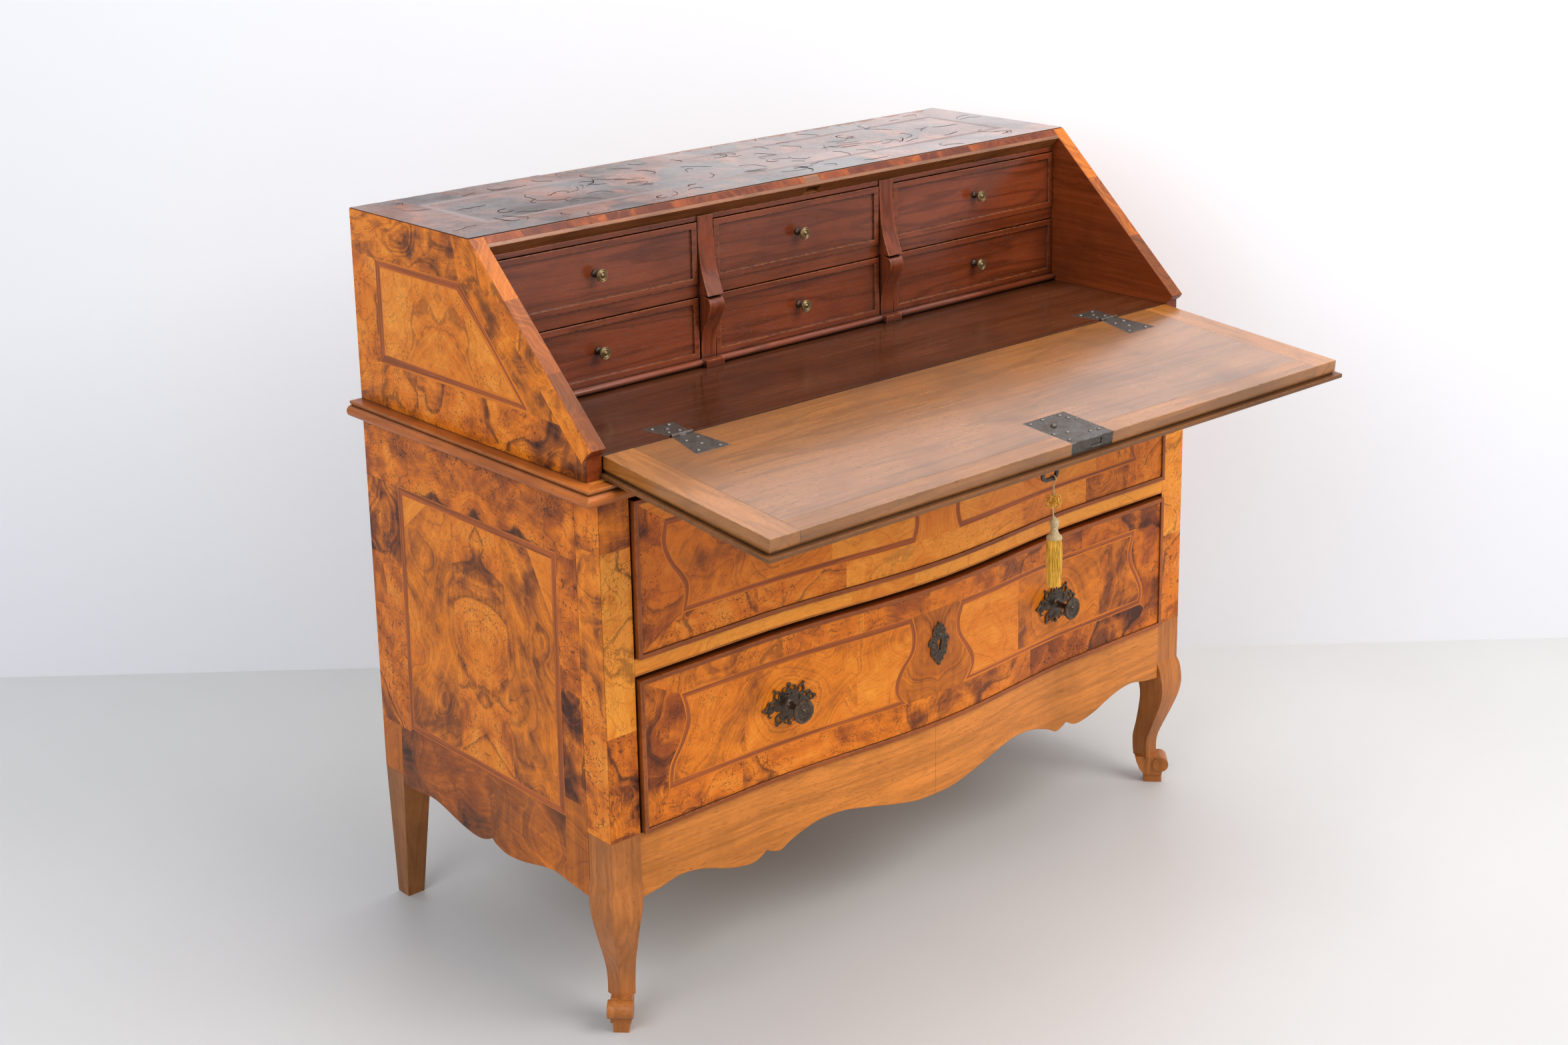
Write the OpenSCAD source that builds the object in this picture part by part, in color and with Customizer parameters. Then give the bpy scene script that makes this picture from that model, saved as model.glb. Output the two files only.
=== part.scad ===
// Slant-front writing desk: two long drawers on four legs, and above them a
// sloping case whose fall opens to a writing board before six small drawers.
// Millimetres, Z up. The front faces -Y. The origin is on the floor, under
// the middle of the whole desk with its fall open.

/* [Case] */
// Width over the sides
case_w = 1140; // [1060:5:1220]
// Depth from the back to the front posts
case_d = 550; // [540:1:570]
// Height from the floor to the top
case_h = 1046; // [1030:2:1080]
// Height of the upper case, from the writing board's underside up
upper_h = 275; // [265:1:285]
// Thickness of the top and of the writing board
board_t = 29; // [26:1:32]
// Thickness of the veneer sheet on the top
veneer_t = 1.5; // [1:0.1:2]
// Thickness of the upper sides
side_t = 23; // [18:1:28]
// Thickness of the lower sides
panel_t = 22; // [18:1:26]
// Thickness of the back boards
back_t = 14; // [10:1:18]

/* [Front] */
// Width of a front post
post_w = 48; // [42:1:56]
// Depth of a front post
post_d = 50; // [44:1:56]
// Rise of the serpentine front at its middle
bow = 22; // [10:1:30]
// Half the width of the bowed stretch
bow_half = 330; // [250:10:450]
// Top of the apron, where the lower opening starts
apron_top = 284; // [270:1:300]
// Lowest point of the scalloped edges
apron_low = 174; // [165:1:190]
// Thickness of the apron
apron_t = 20; // [16:1:26]
// Distance of the apron's cusps from the middle
cusp_x = 306; // [280:2:330]
// Height of the rail between the long drawers
rail_h = 24; // [18:1:30]
// Height of the rail under the writing board, and of the moulding
top_rail_h = 25; // [23:1:30]
// Depth of the rails
rail_d = 70; // [50:1:90]

/* [Legs] */
// Height at which the knee of a front leg starts
knee_top = 216; // [210:1:226]
// Thickness of a back leg at its top
back_leg_w = 46; // [40:1:52]
// Thickness of a back leg at the floor
back_foot_w = 28; // [24:1:34]
// Height of the joint above a back leg
back_leg_h = 206; // [190:1:220]

/* [Moulding] */
// Projection of the waist moulding from the side
mould_w = 26; // [23:1:32]
// Width of its flat top
mould_flat = 20; // [18:0.5:22]
// Radius of its round
mould_r = 8; // [6:0.5:9]
// How far its back stands behind the front posts
mould_set = 10; // [6:1:16]

/* [Fall] */
// Angle of the slant from the floor
slant = 43; // [40:0.5:46]
// Distance of the hinge line behind the front posts
hinge_set = 23; // [20:1:27]
// Thickness of the fall's boards
fall_t = 17; // [15:0.5:18]
// Depth of the groove behind the lip
groove_t = 3; // [2:0.5:3.5]
// Thickness of the veneered face and the lip
face_t = 5.6; // [4.6:0.1:6]
// How far the lip stands out
lip_w = 8; // [6:0.5:10]
// Gap between the fall and the sides
fall_gap = 4; // [3:0.5:5]
// Width of the end cleats
cleat_w = 47; // [38:1:60]
// Width of the front strip
strip_w = 32; // [26:1:40]

/* [Long drawers] */
// Thickness of a drawer front at its ends
front_t = 30; // [26:1:36]
// How far the fronts stand proud of the rails
front_proud = 8; // [5:1:12]
// Gap beside a front
drawer_gap = 3; // [1.5:0.5:5]
// Gap over a front
drawer_top_gap = 5; // [3:0.5:7]
// Width of the bead round a front
bead_w = 6; // [4:0.5:9]
// Height of that bead
bead_h = 3; // [1.5:0.5:4]
// Thickness of the box sides
box_t = 14; // [10:1:18]
// Thickness of the box bottom
box_bottom_t = 8; // [6:1:12]
// Distance of a pull from the middle
pull_x = 268; // [200:2:340]
// Diameter of the disc of a pull
disc_w = 34; // [28:1:40]
// Projection of a pull
pull_l = 38; // [30:1:46]

/* [Nest] */
// Distance of a nest divider from the middle
divider_x = 176; // [150:1:200]
// Thickness of a divider and its bracket
divider_t = 28; // [22:1:34]
// Height of the sill
sill_h = 11; // [9:1:15]
// Thickness of the shelves
shelf_t = 18; // [14:1:22]
// Thickness of the strip over the upper drawers
strip_t = 7; // [5:1:9]
// Thickness of a small drawer's front
small_front_t = 16; // [12:1:20]
// Gap beside a small front
small_gap = 1.5; // [1:0.25:2.5]
// Width of the raised frame on a small front
frame_w = 9; // [6:0.5:12]
// Diameter of a small knob
knob_w = 16; // [12:1:20]

/* [Lock and key] */
// Middle of the lock on the fall
lock_x = 15; // [0:1:30]
// Width of the lock plate
lock_w = 80; // [70:1:90]
// Distance of the key from the fall's front edge
key_set = 57; // [52:1:62]
// Length of the lock plate
lock_l = 87; // [82:1:92]
// Sideways place of the key
key_x = 3; // [-6:1:10]
// Width of the key's bow
key_bow_w = 32; // [26:1:36]
// Height of the key's bow
key_bow_h = 20; // [18:1:24]
// Diameter of the key's wire
key_wire = 4.5; // [4:0.25:5]
// Throw of the bolts
bolt_throw = 10; // [8:1:11]

/* [Hidden] */
$fn = 48;

// Running clearance between pieces that move on each other
fit = 0.3;
eps = 1;
half_w = case_w / 2;
lower_h = case_h - upper_h;
hinge_d = case_d - hinge_set;
open_hw = half_w - post_w;
rail_back = case_d - rail_d;
opening_h = (lower_h - top_rail_h - apron_top - rail_h) / 2;
rail_z = apron_top + opening_h;
upper_z = rail_z + rail_h;
top_rail_z = lower_h - top_rail_h;
mould_d = case_d - mould_set;
inner_hw = half_w - side_t;
panel_in = half_w - panel_t;
side_front = case_d - post_d;

// The hinge line, the slant and the fall. A point of the fall is given by u,
// its distance from the hinge line, and t, its depth from the writing face.
hinge_z = lower_h + board_t;
fall_total = fall_t + groove_t + face_t;
edge_off = fall_t + groove_t - fit;
strike_rise = 1;
strike_u = (case_h - board_t - hinge_z + strike_rise) / sin(slant);
fall_len = strike_u - 1.5;
fall_hw = inner_hw - fall_gap;
key_u = fall_len - key_set;
hinge_gap = 2.5;
lip_start = 8;
// The open fall leans on the moulding's flat top
rest_h = board_t - fit;
rest_d = mould_d + mould_flat - hinge_d;
sag = acos(fall_total / sqrt(rest_h * rest_h + rest_d * rest_d)) - atan2(rest_d, rest_h);
closed_turn = slant - 180;
reach = hinge_d + (fall_len + lip_w) * cos(sag) - (fall_t + groove_t) * sin(sag);
centre_y = reach / 2;

// The nest
nest_d = hinge_d - strike_u * cos(slant);
nest_z0 = hinge_z + sill_h;
nest_top = case_h - board_t;
shelf_z = (nest_z0 + nest_top - strip_t - shelf_t) / 2;
row_h = shelf_z - nest_z0;
col_x = [-inner_hw, -divider_x + divider_t / 2, divider_x + divider_t / 2];
col_w = inner_hw - divider_x - divider_t / 2;
mid_w = 2 * divider_x - divider_t;

// Long drawers
front_hw = open_hw - drawer_gap;
front_back = case_d + front_proud - front_t;
box_hw = front_hw - 5;
box_back = 40;
drawer_lift = 0.5;
pull_z = (opening_h - drawer_top_gap) / 2;
key_rise = 21;
pull_y = front_proud - bead_h;
escutcheon_t = 3;
lock_deep = 14;

function flip(pts) = [for (p = pts) [-p[0], p[1]]];
function bow_at(x) = abs(x) < bow_half ? bow * (1 + cos(180 * x / bow_half)) / 2 : 0;
function bow_turn(x) = atan(bow * 90 / bow_half * PI / 180 * sin(180 * x / bow_half));
function front_line(hw, off, n = 90) =
    [for (i = [0:n]) let (x = -hw + 2 * hw * i / n) [x, -case_d - bow_at(x) - off]];
function spline_at(p, i, t) =
    let (a = p[max(i - 1, 0)], b = p[i], c = p[i + 1], d = p[min(i + 2, len(p) - 1)])
    0.5 * (2 * b + (c - a) * t + (2 * a - 5 * b + 4 * c - d) * t * t
        + (3 * b - a - 3 * c + d) * t * t * t);
function spline(p, n = 5) = concat(
    [for (i = [0:len(p) - 2]) each [for (k = [0:n - 1]) spline_at(p, i, k / n)]],
    [p[len(p) - 1]]);
function back_of(pts) = [for (i = [len(pts) - 1:-1:0]) pts[i]];
function slant_d(u, w) = hinge_d - u * cos(slant) + w * sin(slant);
function slant_z(u, w) = hinge_z + u * sin(slant) + w * cos(slant);
function slant_at(z) = (z - hinge_z - edge_off * cos(slant)) / sin(slant);

module place() translate([0, centre_y, 0]) children();
module both() {
    children();
    mirror([1, 0, 0]) children();
}
module block(x0, x1, d0, d1, z0, z1)
    translate([x0, -d1, z0]) cube([x1 - x0, d1 - d0, z1 - z0]);
module plate_x(x0, x1, pts)
    translate([x0, 0, 0]) rotate([90, 0, 90]) linear_extrude(x1 - x0) polygon(flip(pts));
module front_slab(hw, back, off, z0, z1)
    translate([0, 0, z0]) linear_extrude(z1 - z0)
        polygon(concat(front_line(hw, off), [[hw, -back], [-hw, -back]]));
module fall_frame(turn) translate([0, -hinge_d, hinge_z]) rotate([turn, 0, 0]) children();
module on_fall() place() fall_frame(sag) children();
module slab(x0, x1, u0, u1, t0, t1)
    translate([x0, -u1, -t1]) cube([x1 - x0, u1 - u0, t1 - t0]);

// Legs. The profile is drawn for a leg whose knee starts at 216 and is scaled from there
foot_in = 25;
foot_z = 44;
foot_w = 28;
leg_out = [[0, 216], [4, 202], [6, 176], [3, 152], [-5, 124], [-13, 100], [-19, 79],
    [-20.5, 60], [-19.5, 44]];
leg_in = [[0, 216], [3, 194], [7, 172], [9, 152], [8, 130], [5, 101], [2, 79], [2, 60], [3, 44]];
leg_k = foot_z / 44;
leg_lift = (knee_top - foot_z) / 172;
volute_r = 12.5;
volute_z = 33;
pad_w = 21;
pad_h = 15;

module leg_profile(w) polygon(concat(
    [for (p = spline(leg_out)) [p[0] * leg_k, foot_z + (p[1] - 44) * leg_lift]],
    back_of([for (p = spline(leg_in)) [p[0] * leg_k - w, foot_z + (p[1] - 44) * leg_lift]])));
module front_leg() {
    spare = foot_z;
    translate([-post_w, -post_d, knee_top]) cube([post_w, post_d, apron_top - knee_top]);
    intersection() {
        translate([0, spare, 0]) rotate([90, 0, 0]) linear_extrude(post_d + 2 * spare)
            leg_profile(post_w);
        translate([-post_w - spare, 0, 0]) rotate([90, 0, 90])
            linear_extrude(post_w + 2 * spare) leg_profile(post_d);
    }
    translate([-foot_in, -foot_in, 0]) rotate([0, 0, 45]) {
        translate([0, foot_w / 2, 0]) rotate([90, 0, 0]) linear_extrude(foot_w)
            polygon([[-foot_w, foot_z + eps], [-foot_w + 2, foot_z - 7], [-pad_w, pad_h + 9],
                [-volute_r, pad_h - eps], [pad_h, pad_h - eps], [pad_h + eps, pad_h + 9],
                [volute_r - 4, foot_z - 4], [volute_r - 6, foot_z + eps]]);
        translate([volute_r, foot_w / 2 + 3, volute_z]) rotate([90, 0, 0])
            cylinder(r = volute_r, h = foot_w + 6);
        translate([-volute_r, -pad_w / 2, 0]) cube([volute_r + pad_h, pad_w, pad_h]);
    }
}
module right_front_leg()
    color("peru") place() translate([half_w, -case_d, 0]) mirror([0, 1, 0]) front_leg();
module left_front_leg()
    color("peru") place() translate([-half_w, -case_d, 0]) rotate([0, 0, 180]) front_leg();
module back_leg() {
    inset = 6;
    stile_t = 22;
    hull() {
        block(half_w - back_leg_w - 2, half_w, 0, back_leg_w, back_leg_h - 0.1, back_leg_h);
        block(half_w - inset - back_foot_w, half_w - inset, 1, back_foot_w, 0, 0.1);
    }
    block(panel_in - stile_t, panel_in, back_t, back_leg_w, back_leg_h, lower_h);
}
module right_back_leg() color("peru") place() back_leg();
module left_back_leg() color("peru") place() mirror([1, 0, 0]) back_leg();

// Lower case
module front_posts() color("peru") place() both()
    block(open_hw, half_w, side_front, case_d, apron_top, top_rail_z);
module lower_side() {
    mid = (side_front + back_leg_w) / 2;
    span = (side_front - back_leg_w) / 2;
    wave = [[0, 18], [9, 11], [36, 5], [75, 9], [span - 87, 23], [span - 42, 20], [span, 16]];
    curve = [for (p = spline(wave)) [p[0], apron_low + p[1]]];
    front = [for (p = back_of(curve)) [mid + p[0], p[1]]];
    back = [for (p = curve) [mid - p[0], p[1]]];
    plate_x(panel_in, half_w, concat([[side_front, lower_h]], front, back,
        [[back_leg_w, back_leg_h], [0, back_leg_h], [0, lower_h]]));
}
module lower_sides() color("chocolate") place() both() lower_side();
module apron_half() {
    low = apron_low;
    middle = [[0, low], [35, low + 1], [76, low + 8], [122, low + 18], [172, low + 27],
        [cusp_x - 88, low + 25], [cusp_x - 46, low + 12], [cusp_x - 26, low + 2],
        [cusp_x - 12, low + 4], [cusp_x, low + 10]];
    lobe = [[cusp_x, low + 10], [cusp_x + 16, low + 1], [cusp_x + 36, low], [cusp_x + 68, low + 7],
        [open_hw - 105, low + 22], [open_hw - 66, low + 28], [open_hw - 32, low + 22],
        [open_hw, low + 18]];
    intersection() {
        translate([0, 0, low - 10]) linear_extrude(apron_top - low + 10)
            polygon(concat(front_line(open_hw, 0), back_of(front_line(open_hw, -apron_t))));
        translate([0, -case_d + 60, 0]) rotate([90, 0, 0]) linear_extrude(120)
            polygon(concat([[0.2, apron_top]], [[0.2, low]],
                [for (p = spline(middle)) if (p[0] > 0.2) p], spline(lobe), [[open_hw, apron_top]]));
    }
}
module front_apron() color("peru") place() both() apron_half();
mortise_d = front_back - lock_deep / 2;
module mortise(z) block(-14, 14, mortise_d - 6, mortise_d + 6, z - eps, z + bolt_throw + 4);
module drawer_rails() color("peru") place() {
    difference() {
        front_slab(open_hw, rail_back, 0, rail_z, upper_z);
        mortise(rail_z);
    }
    difference() {
        union() {
            block(-half_w, half_w, side_front, mould_d, top_rail_z, lower_h);
            block(-panel_in, panel_in, rail_back, side_front + eps, top_rail_z, lower_h);
        }
        mortise(top_rail_z);
    }
    block(-open_hw, open_hw, rail_back, case_d - apron_t, apron_top - 20, apron_top);
}
runner_w = 58;
guide_h = 18;
module runner(z) {
    block(panel_in - runner_w, panel_in, back_leg_w, rail_back, z - 20, z);
    block(box_hw + 2, panel_in, back_leg_w, rail_back, z - eps, z + guide_h);
}
module drawer_runners() color("burlywood") place() both() {
    runner(upper_z);
    runner(apron_top);
}
dust_t = 8;
module dust_boards() color("burlywood") place()
    for (z = [upper_z, apron_top])
        block(runner_w - panel_in, panel_in - runner_w, back_t, rail_back, z - 16, z - 16 + dust_t);
module lower_back() color("burlywood") place()
    block(-panel_in, panel_in, 0, back_t, 215, lower_h);

// Waist moulding: a flat fillet over a round, mitred at the front corners
module mould_profile() {
    round_o = mould_w - mould_r;
    round_z = top_rail_z + mould_r + 2.5;
    polygon([[0, top_rail_z], [round_o - 6, top_rail_z], [round_o, top_rail_z + 2],
        [round_o, lower_h - 5], [mould_flat, lower_h - 4], [mould_flat, lower_h], [0, lower_h]]);
    translate([round_o, round_z]) circle(r = mould_r);
}
module mould_run(l) rotate([90, 0, 90]) linear_extrude(l) mould_profile();
module mitre(pts) linear_extrude(case_h) polygon(pts);
far = 40;
module front_moulding() color("sienna") place() intersection() {
    translate([-half_w - far, -mould_d, 0]) mirror([0, 1, 0]) mould_run(case_w + 2 * far);
    mitre([[-half_w, -mould_d], [half_w, -mould_d], [half_w + far, -mould_d - far],
        [-half_w - far, -mould_d - far]]);
}
module side_mouldings() color("sienna") place() both() intersection() {
    translate([half_w, -mould_d - far, 0]) mirror([1, -1, 0]) mould_run(mould_d + far);
    mitre([[half_w, -mould_d], [half_w, 0], [half_w + far, 0], [half_w + far, -mould_d - far]]);
}

// Upper case
module writing_board() color("saddlebrown") place() difference() {
    block(-inner_hw, inner_hw, back_t, hinge_d - fit, lower_h, hinge_z);
    translate([0, -hinge_d, hinge_z]) both() translate([hinge_x, 0, 0]) hinge_seat(-1);
}
block_step = 4;
module upper_side() {
    top = case_h - veneer_t;
    tip = -1.5;
    block_d = hinge_d + block_step;
    plate_x(inner_hw, half_w, [[0, lower_h], [0, top], [slant_d(slant_at(top), edge_off), top],
        [slant_d(tip, edge_off), slant_z(tip, edge_off)], [block_d + 7, hinge_z + 8],
        [block_d + 3, hinge_z + 5], [block_d, hinge_z + 3], [block_d, lower_h]]);
}
module upper_sides() color("chocolate") place() both() upper_side();
module top_board() color("chocolate") place() difference() {
    top = case_h - veneer_t;
    plate_x(-inner_hw, inner_hw, [[0, nest_top], [0, top], [slant_d(slant_at(top), edge_off), top],
        [slant_d(strike_u, edge_off), slant_z(strike_u, edge_off)],
        [nest_d - strike_rise * tan(slant), nest_top]]);
    fall_frame(closed_turn) slab(bolt_x - 13, bolt_x + 13, strike_u - 9, strike_u + bolt_throw + 4,
        bolt_t - 7, bolt_t + 7);
}
module top_veneer() color("chocolate") place()
    plate_x(-half_w, half_w, [[0, case_h - veneer_t], [0, case_h],
        [slant_d(slant_at(case_h), edge_off), case_h],
        [slant_d(slant_at(case_h - veneer_t), edge_off), case_h - veneer_t]]);
module upper_back() color("burlywood") place()
    block(-inner_hw, inner_hw, 0, back_t, lower_h, nest_top);

// Nest of small drawers
set_back = 2;
module nest_dividers() color("brown") place() both()
    block(divider_x - divider_t / 2, divider_x + divider_t / 2, back_t, nest_d - set_back,
        nest_z0, nest_top);
module nest_shelves() color("brown") place()
    for (c = [0:2]) {
        w = c == 1 ? mid_w : col_w;
        x = col_x[c];
        block(x, x + w, back_t, nest_d, shelf_z, shelf_z + shelf_t);
        block(x, x + w, nest_d - 20, nest_d, nest_top - strip_t, nest_top);
    }
module nest_sill() color("brown") place() {
    nose = 5;
    block(-inner_hw, inner_hw, back_t, nest_d + nose, hinge_z, nest_z0);
    translate([-inner_hw, -nest_d - nose, hinge_z + sill_h / 2]) rotate([0, 90, 0])
        cylinder(d = sill_h, h = 2 * inner_hw);
    both() block(divider_x - divider_t / 2 - 2, divider_x + divider_t / 2 + 2, nest_d,
        nest_d + 18, hinge_z, nest_z0);
}
module scroll_brackets() color("brown") place() both() {
    x0 = divider_x - divider_t / 2;
    x1 = divider_x + divider_t / 2;
    back = nest_d - set_back;
    step = shelf_z + 3;
    rake = [[4, nest_top], [5, nest_top - 35], [9, nest_top - 70], [15, step + 22], [24, step]];
    curl = [[9, step], [22, step - 4], [27, step - 12], [25, step - 24], [18, step - 37],
        [10, step - 52], [6, step - 68], [5, nest_z0]];
    plate_x(x0, x1, concat([[back, step], [back, nest_top]],
        [for (p = spline(rake)) [back + p[0], p[1]]]));
    plate_x(x0 + 1, x1 - 1, concat([[back, nest_z0], [back, step - fit]],
        [for (p = spline(curl)) [back + p[0], min(p[1], step - fit)]]));
}

// Hinges of the fall: dovetail-shaped leaves let in flush
hinge_x = 415;
leaf_t = 1.8;
knuckle_r = 3.2;
pin_r = 1.5;
hinge_hw = 17;
mid_knuckle = 6;
desk_leaf = 50;
desk_leaf_hw = 26;
fall_leaf = 65;
fall_leaf_hw = 29;
// side is -1 for the leaf on the desk and 1 for the leaf on the fall
module leaf_shape(side, grow) {
    far_u = side * ((side < 0 ? desk_leaf : fall_leaf) + grow);
    far_hw = (side < 0 ? desk_leaf_hw : fall_leaf_hw) + grow;
    near_u = side * (knuckle_r + 0.8);
    near_hw = hinge_hw + grow;
    polygon([[-near_hw, 0], [near_hw, 0], [near_hw, -near_u], [far_hw, -far_u],
        [-far_hw, -far_u], [-near_hw, -near_u]]);
}
module hinge_seat(side) {
    translate([0, 0, -leaf_t]) linear_extrude(leaf_t + eps) leaf_shape(side, 0.15);
    translate([-hinge_hw - fit, 0, 0]) rotate([0, 90, 0])
        cylinder(r = knuckle_r + fit, h = 2 * (hinge_hw + fit));
}
module x_rod(r, x0, x1) translate([x0, 0, 0]) rotate([0, 90, 0]) cylinder(r = r, h = x1 - x0);
module desk_half() {
    difference() {
        union() {
            translate([0, 0, -leaf_t]) linear_extrude(leaf_t) leaf_shape(-1, 0);
            x_rod(knuckle_r, -hinge_hw, hinge_hw);
        }
        x_rod(knuckle_r + fit, -mid_knuckle - fit, mid_knuckle + fit);
        x_rod(pin_r, -hinge_hw - eps, hinge_hw + eps);
    }
    x_rod(pin_r, -hinge_hw, hinge_hw);
}
module fall_half() difference() {
    union() {
        difference() {
            translate([0, 0, -leaf_t]) linear_extrude(leaf_t) leaf_shape(1, 0);
            for (s = [0, 1]) mirror([s, 0, 0])
                x_rod(knuckle_r + fit, mid_knuckle - eps, hinge_hw + eps);
        }
        x_rod(knuckle_r, -mid_knuckle, mid_knuckle);
    }
    x_rod(pin_r + 0.05, -hinge_hw - eps, hinge_hw + eps);
}
module desk_hinge_halves() color("dimgray") place()
    translate([0, -hinge_d, hinge_z]) both() translate([hinge_x, 0, 0]) desk_half();
module fall_hinge_halves() color("dimgray") on_fall()
    both() translate([hinge_x, 0, 0]) fall_half();

// Fall
core_hw = fall_hw - cleat_w;
strip_u = fall_len - strip_w;
face_hw = fall_hw + lip_w - 21;
lock_back = fall_len - lock_l;
flange_t = 2;
case_w2 = 27;
bolt_x = 24;
bolt_t = 8;
bolt_w = 18;
lock_case_t = 15;
module key_slot(t0, t1) {
    translate([key_x, -key_u, -t1]) cylinder(r = 3.6, h = t1 - t0);
    slab(key_x, key_x + 9.5, key_u - 1.8, key_u + 1.8, t0, t1);
}
module lock_room(grow) {
    slab(lock_x - lock_w / 2 - grow, lock_x + lock_w / 2 + grow, lock_back - grow,
        fall_len + eps, -eps, 2 + grow);
    slab(lock_x - case_w2 - grow, lock_x + case_w2 + grow, lock_back + 8 - grow,
        fall_len + eps, 0, lock_case_t + grow);
    slab(lock_x - lock_w / 2 - grow, lock_x + lock_w / 2 + grow, fall_len - flange_t - grow,
        fall_len + eps, 0, fall_t + eps);
}
module fall_panel() color("sienna") on_fall() difference() {
    union() {
        slab(-core_hw, core_hw, hinge_gap, strip_u, 0, fall_t);
        slab(2 - fall_hw, fall_hw - 2, hinge_gap, fall_len - 2, fall_t, fall_t + groove_t);
    }
    lock_room(0.1);
    key_slot(0, fall_total + eps);
    both() translate([hinge_x, 0, 0]) hinge_seat(1);
}
module fall_edging() color("peru") on_fall() difference() {
    union() {
        both() slab(core_hw + 0.1, fall_hw, hinge_gap, fall_len, 0, fall_t);
        slab(-core_hw, core_hw, strip_u + 0.1, fall_len, 0, fall_t);
    }
    lock_room(0.1);
}
module fall_face() color("chocolate") on_fall() difference() {
    slab(-face_hw, face_hw, lip_start, strip_u + 19, fall_total - face_t, fall_total);
    key_slot(0, fall_total + eps);
}
module fall_lip() color("peru") on_fall() {
    out_hw = fall_hw + lip_w;
    both() slab(face_hw + 0.1, out_hw, lip_start, fall_len + lip_w, fall_total - face_t, fall_total);
    slab(-face_hw, face_hw, strip_u + 19.1, fall_len + lip_w, fall_total - face_t, fall_total);
}
module fall_lock() color("dimgray") on_fall() difference() {
    union() {
        slab(lock_x - lock_w / 2, lock_x + lock_w / 2, lock_back, fall_len, 0, 2);
        slab(lock_x - lock_w / 2, lock_x + lock_w / 2, fall_len - flange_t, fall_len, 0, fall_t);
        slab(lock_x - case_w2, lock_x + case_w2, lock_back + 8, fall_len, 1, lock_case_t);
        translate([key_x, -key_u, 0]) cylinder(r1 = 3, r2 = 2, h = 1.6);
    }
    slab(bolt_x - bolt_w / 2 - fit, bolt_x + bolt_w / 2 + fit, fall_len - 40, fall_len + eps,
        bolt_t - 4 - fit, bolt_t + 4 + fit);
    translate([key_x, -key_u, -lock_case_t + 2]) cylinder(r = 12.2, h = 8.6);
    key_slot(lock_case_t - 3, lock_case_t + eps);
}
module fall_bolt() color("gray") on_fall()
    slab(bolt_x - bolt_w / 2, bolt_x + bolt_w / 2, fall_len - 30, fall_len - 1, bolt_t - 4, bolt_t + 4);
leaf_edge = [[0, 36], [4, 31], [4, 27], [9, 25], [14, 20], [12, 14], [17, 12], [23, 5], [20, -2],
    [15, -4], [18, -10], [16, -17], [10, -19], [10, -25], [5, -27], [4, -32], [0, -36]];
esc_h = 72;
module cartouche() scale(esc_h / 72) difference() {
    polygon(concat(spline(leaf_edge, 4), back_of(flip(spline(leaf_edge, 4)))));
    translate([0, 3]) circle(r = 4.2);
    translate([-2.2, -9]) square([4.4, 12]);
    for (s = [-1, 1]) {
        translate([s * 11, 8]) circle(r = 2);
        translate([s * 10, -12]) circle(r = 2);
    }
}
module fall_escutcheon() color("dimgray") on_fall()
    translate([key_x, -key_u, -fall_total - 2]) difference() {
        rotate([0, 0, 90]) linear_extrude(2) cartouche();
        translate([0, 0, -eps]) cylinder(r = 3.6, h = 4);
        translate([0, -1.8, -eps]) cube([9.5, 3.6, 4]);
    }

// Key: a round stem with a bit, and an oval bow of bent wire
bow_t = fall_total + 42;
bar_t = bow_t + key_bow_h / 2 - key_wire / 2;
module oval(w, h) {
    square([w - h, h], center = true);
    for (s = [-1, 1]) translate([s * (w - h) / 2, 0]) circle(d = h);
}
module key() color("dimgray") on_fall() translate([key_x, -key_u, 0]) {
    translate([0, 0, -bow_t + key_bow_h / 2 - 1]) cylinder(r = 3, h = bow_t - key_bow_h / 2 - 4);
    translate([0, 0, -fall_total - 12]) cylinder(r = 4.4, h = 5);
    translate([2, -1.3, -11.5]) cube([8.5, 2.6, 5.5]);
    translate([0, 2, -bow_t]) rotate([90, 0, 0]) linear_extrude(4) difference() {
        oval(key_bow_w, key_bow_h);
        oval(key_bow_w - 2 * key_wire, key_bow_h - 2 * key_wire);
    }
}

// Tassel: its string is looped over the lower bar of the key's bow
string_r = 1.1;
loop_r = 4.4;
bar_y = -hinge_d - key_u * cos(sag) + bar_t * sin(sag);
bar_z = hinge_z - key_u * sin(sag) - bar_t * cos(sag);
string_x = key_x + 6;
drop_z = [-6, -9, -14, -20, -28, -36, -44, -52, -56];
loop_pts = [for (a = [-60:30:240]) [string_x + (a + 60) / 300 * 2.6, bar_y + loop_r * cos(a),
    bar_z + loop_r * sin(a)]];
drop_pts = [for (z = drop_z) [string_x + 2.6, bar_y - (z > -8 ? 1.6 : z > -12 ? 0.5 : 0), bar_z + z]];
string_pts = concat(loop_pts, drop_pts);
head_z = bar_z - 56;
function unit(v) = v / norm(v);
function heading(p, i) = unit(p[min(i + 1, len(p) - 1)] - p[max(i - 1, 0)]);
function ring(p, i, r, n) =
    let (h = heading(p, i), a = unit(cross(h, [1, 0.001, 0])), b = cross(h, a))
    [for (k = [0:n - 1]) p[i] + r * (cos(360 * k / n) * a + sin(360 * k / n) * b)];
module tube(p, r, n) {
    m = len(p);
    points = [for (i = [0:m - 1]) each ring(p, i, r, n)];
    sides = [for (i = [0:m - 2], k = [0:n - 1]) let (j = (k + 1) % n)
        each [[i * n + k, i * n + j, (i + 1) * n + j], [i * n + k, (i + 1) * n + j, (i + 1) * n + k]]];
    ends = [[for (k = [0:n - 1]) n - 1 - k], [for (k = [0:n - 1]) (m - 1) * n + k]];
    polyhedron(points, concat(sides, ends));
}
module key_string() color("goldenrod") place() tube(string_pts, string_r, 8);
module at_tassel(z) place() translate([string_x + 2.6, bar_y, head_z + z]) children();
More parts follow.
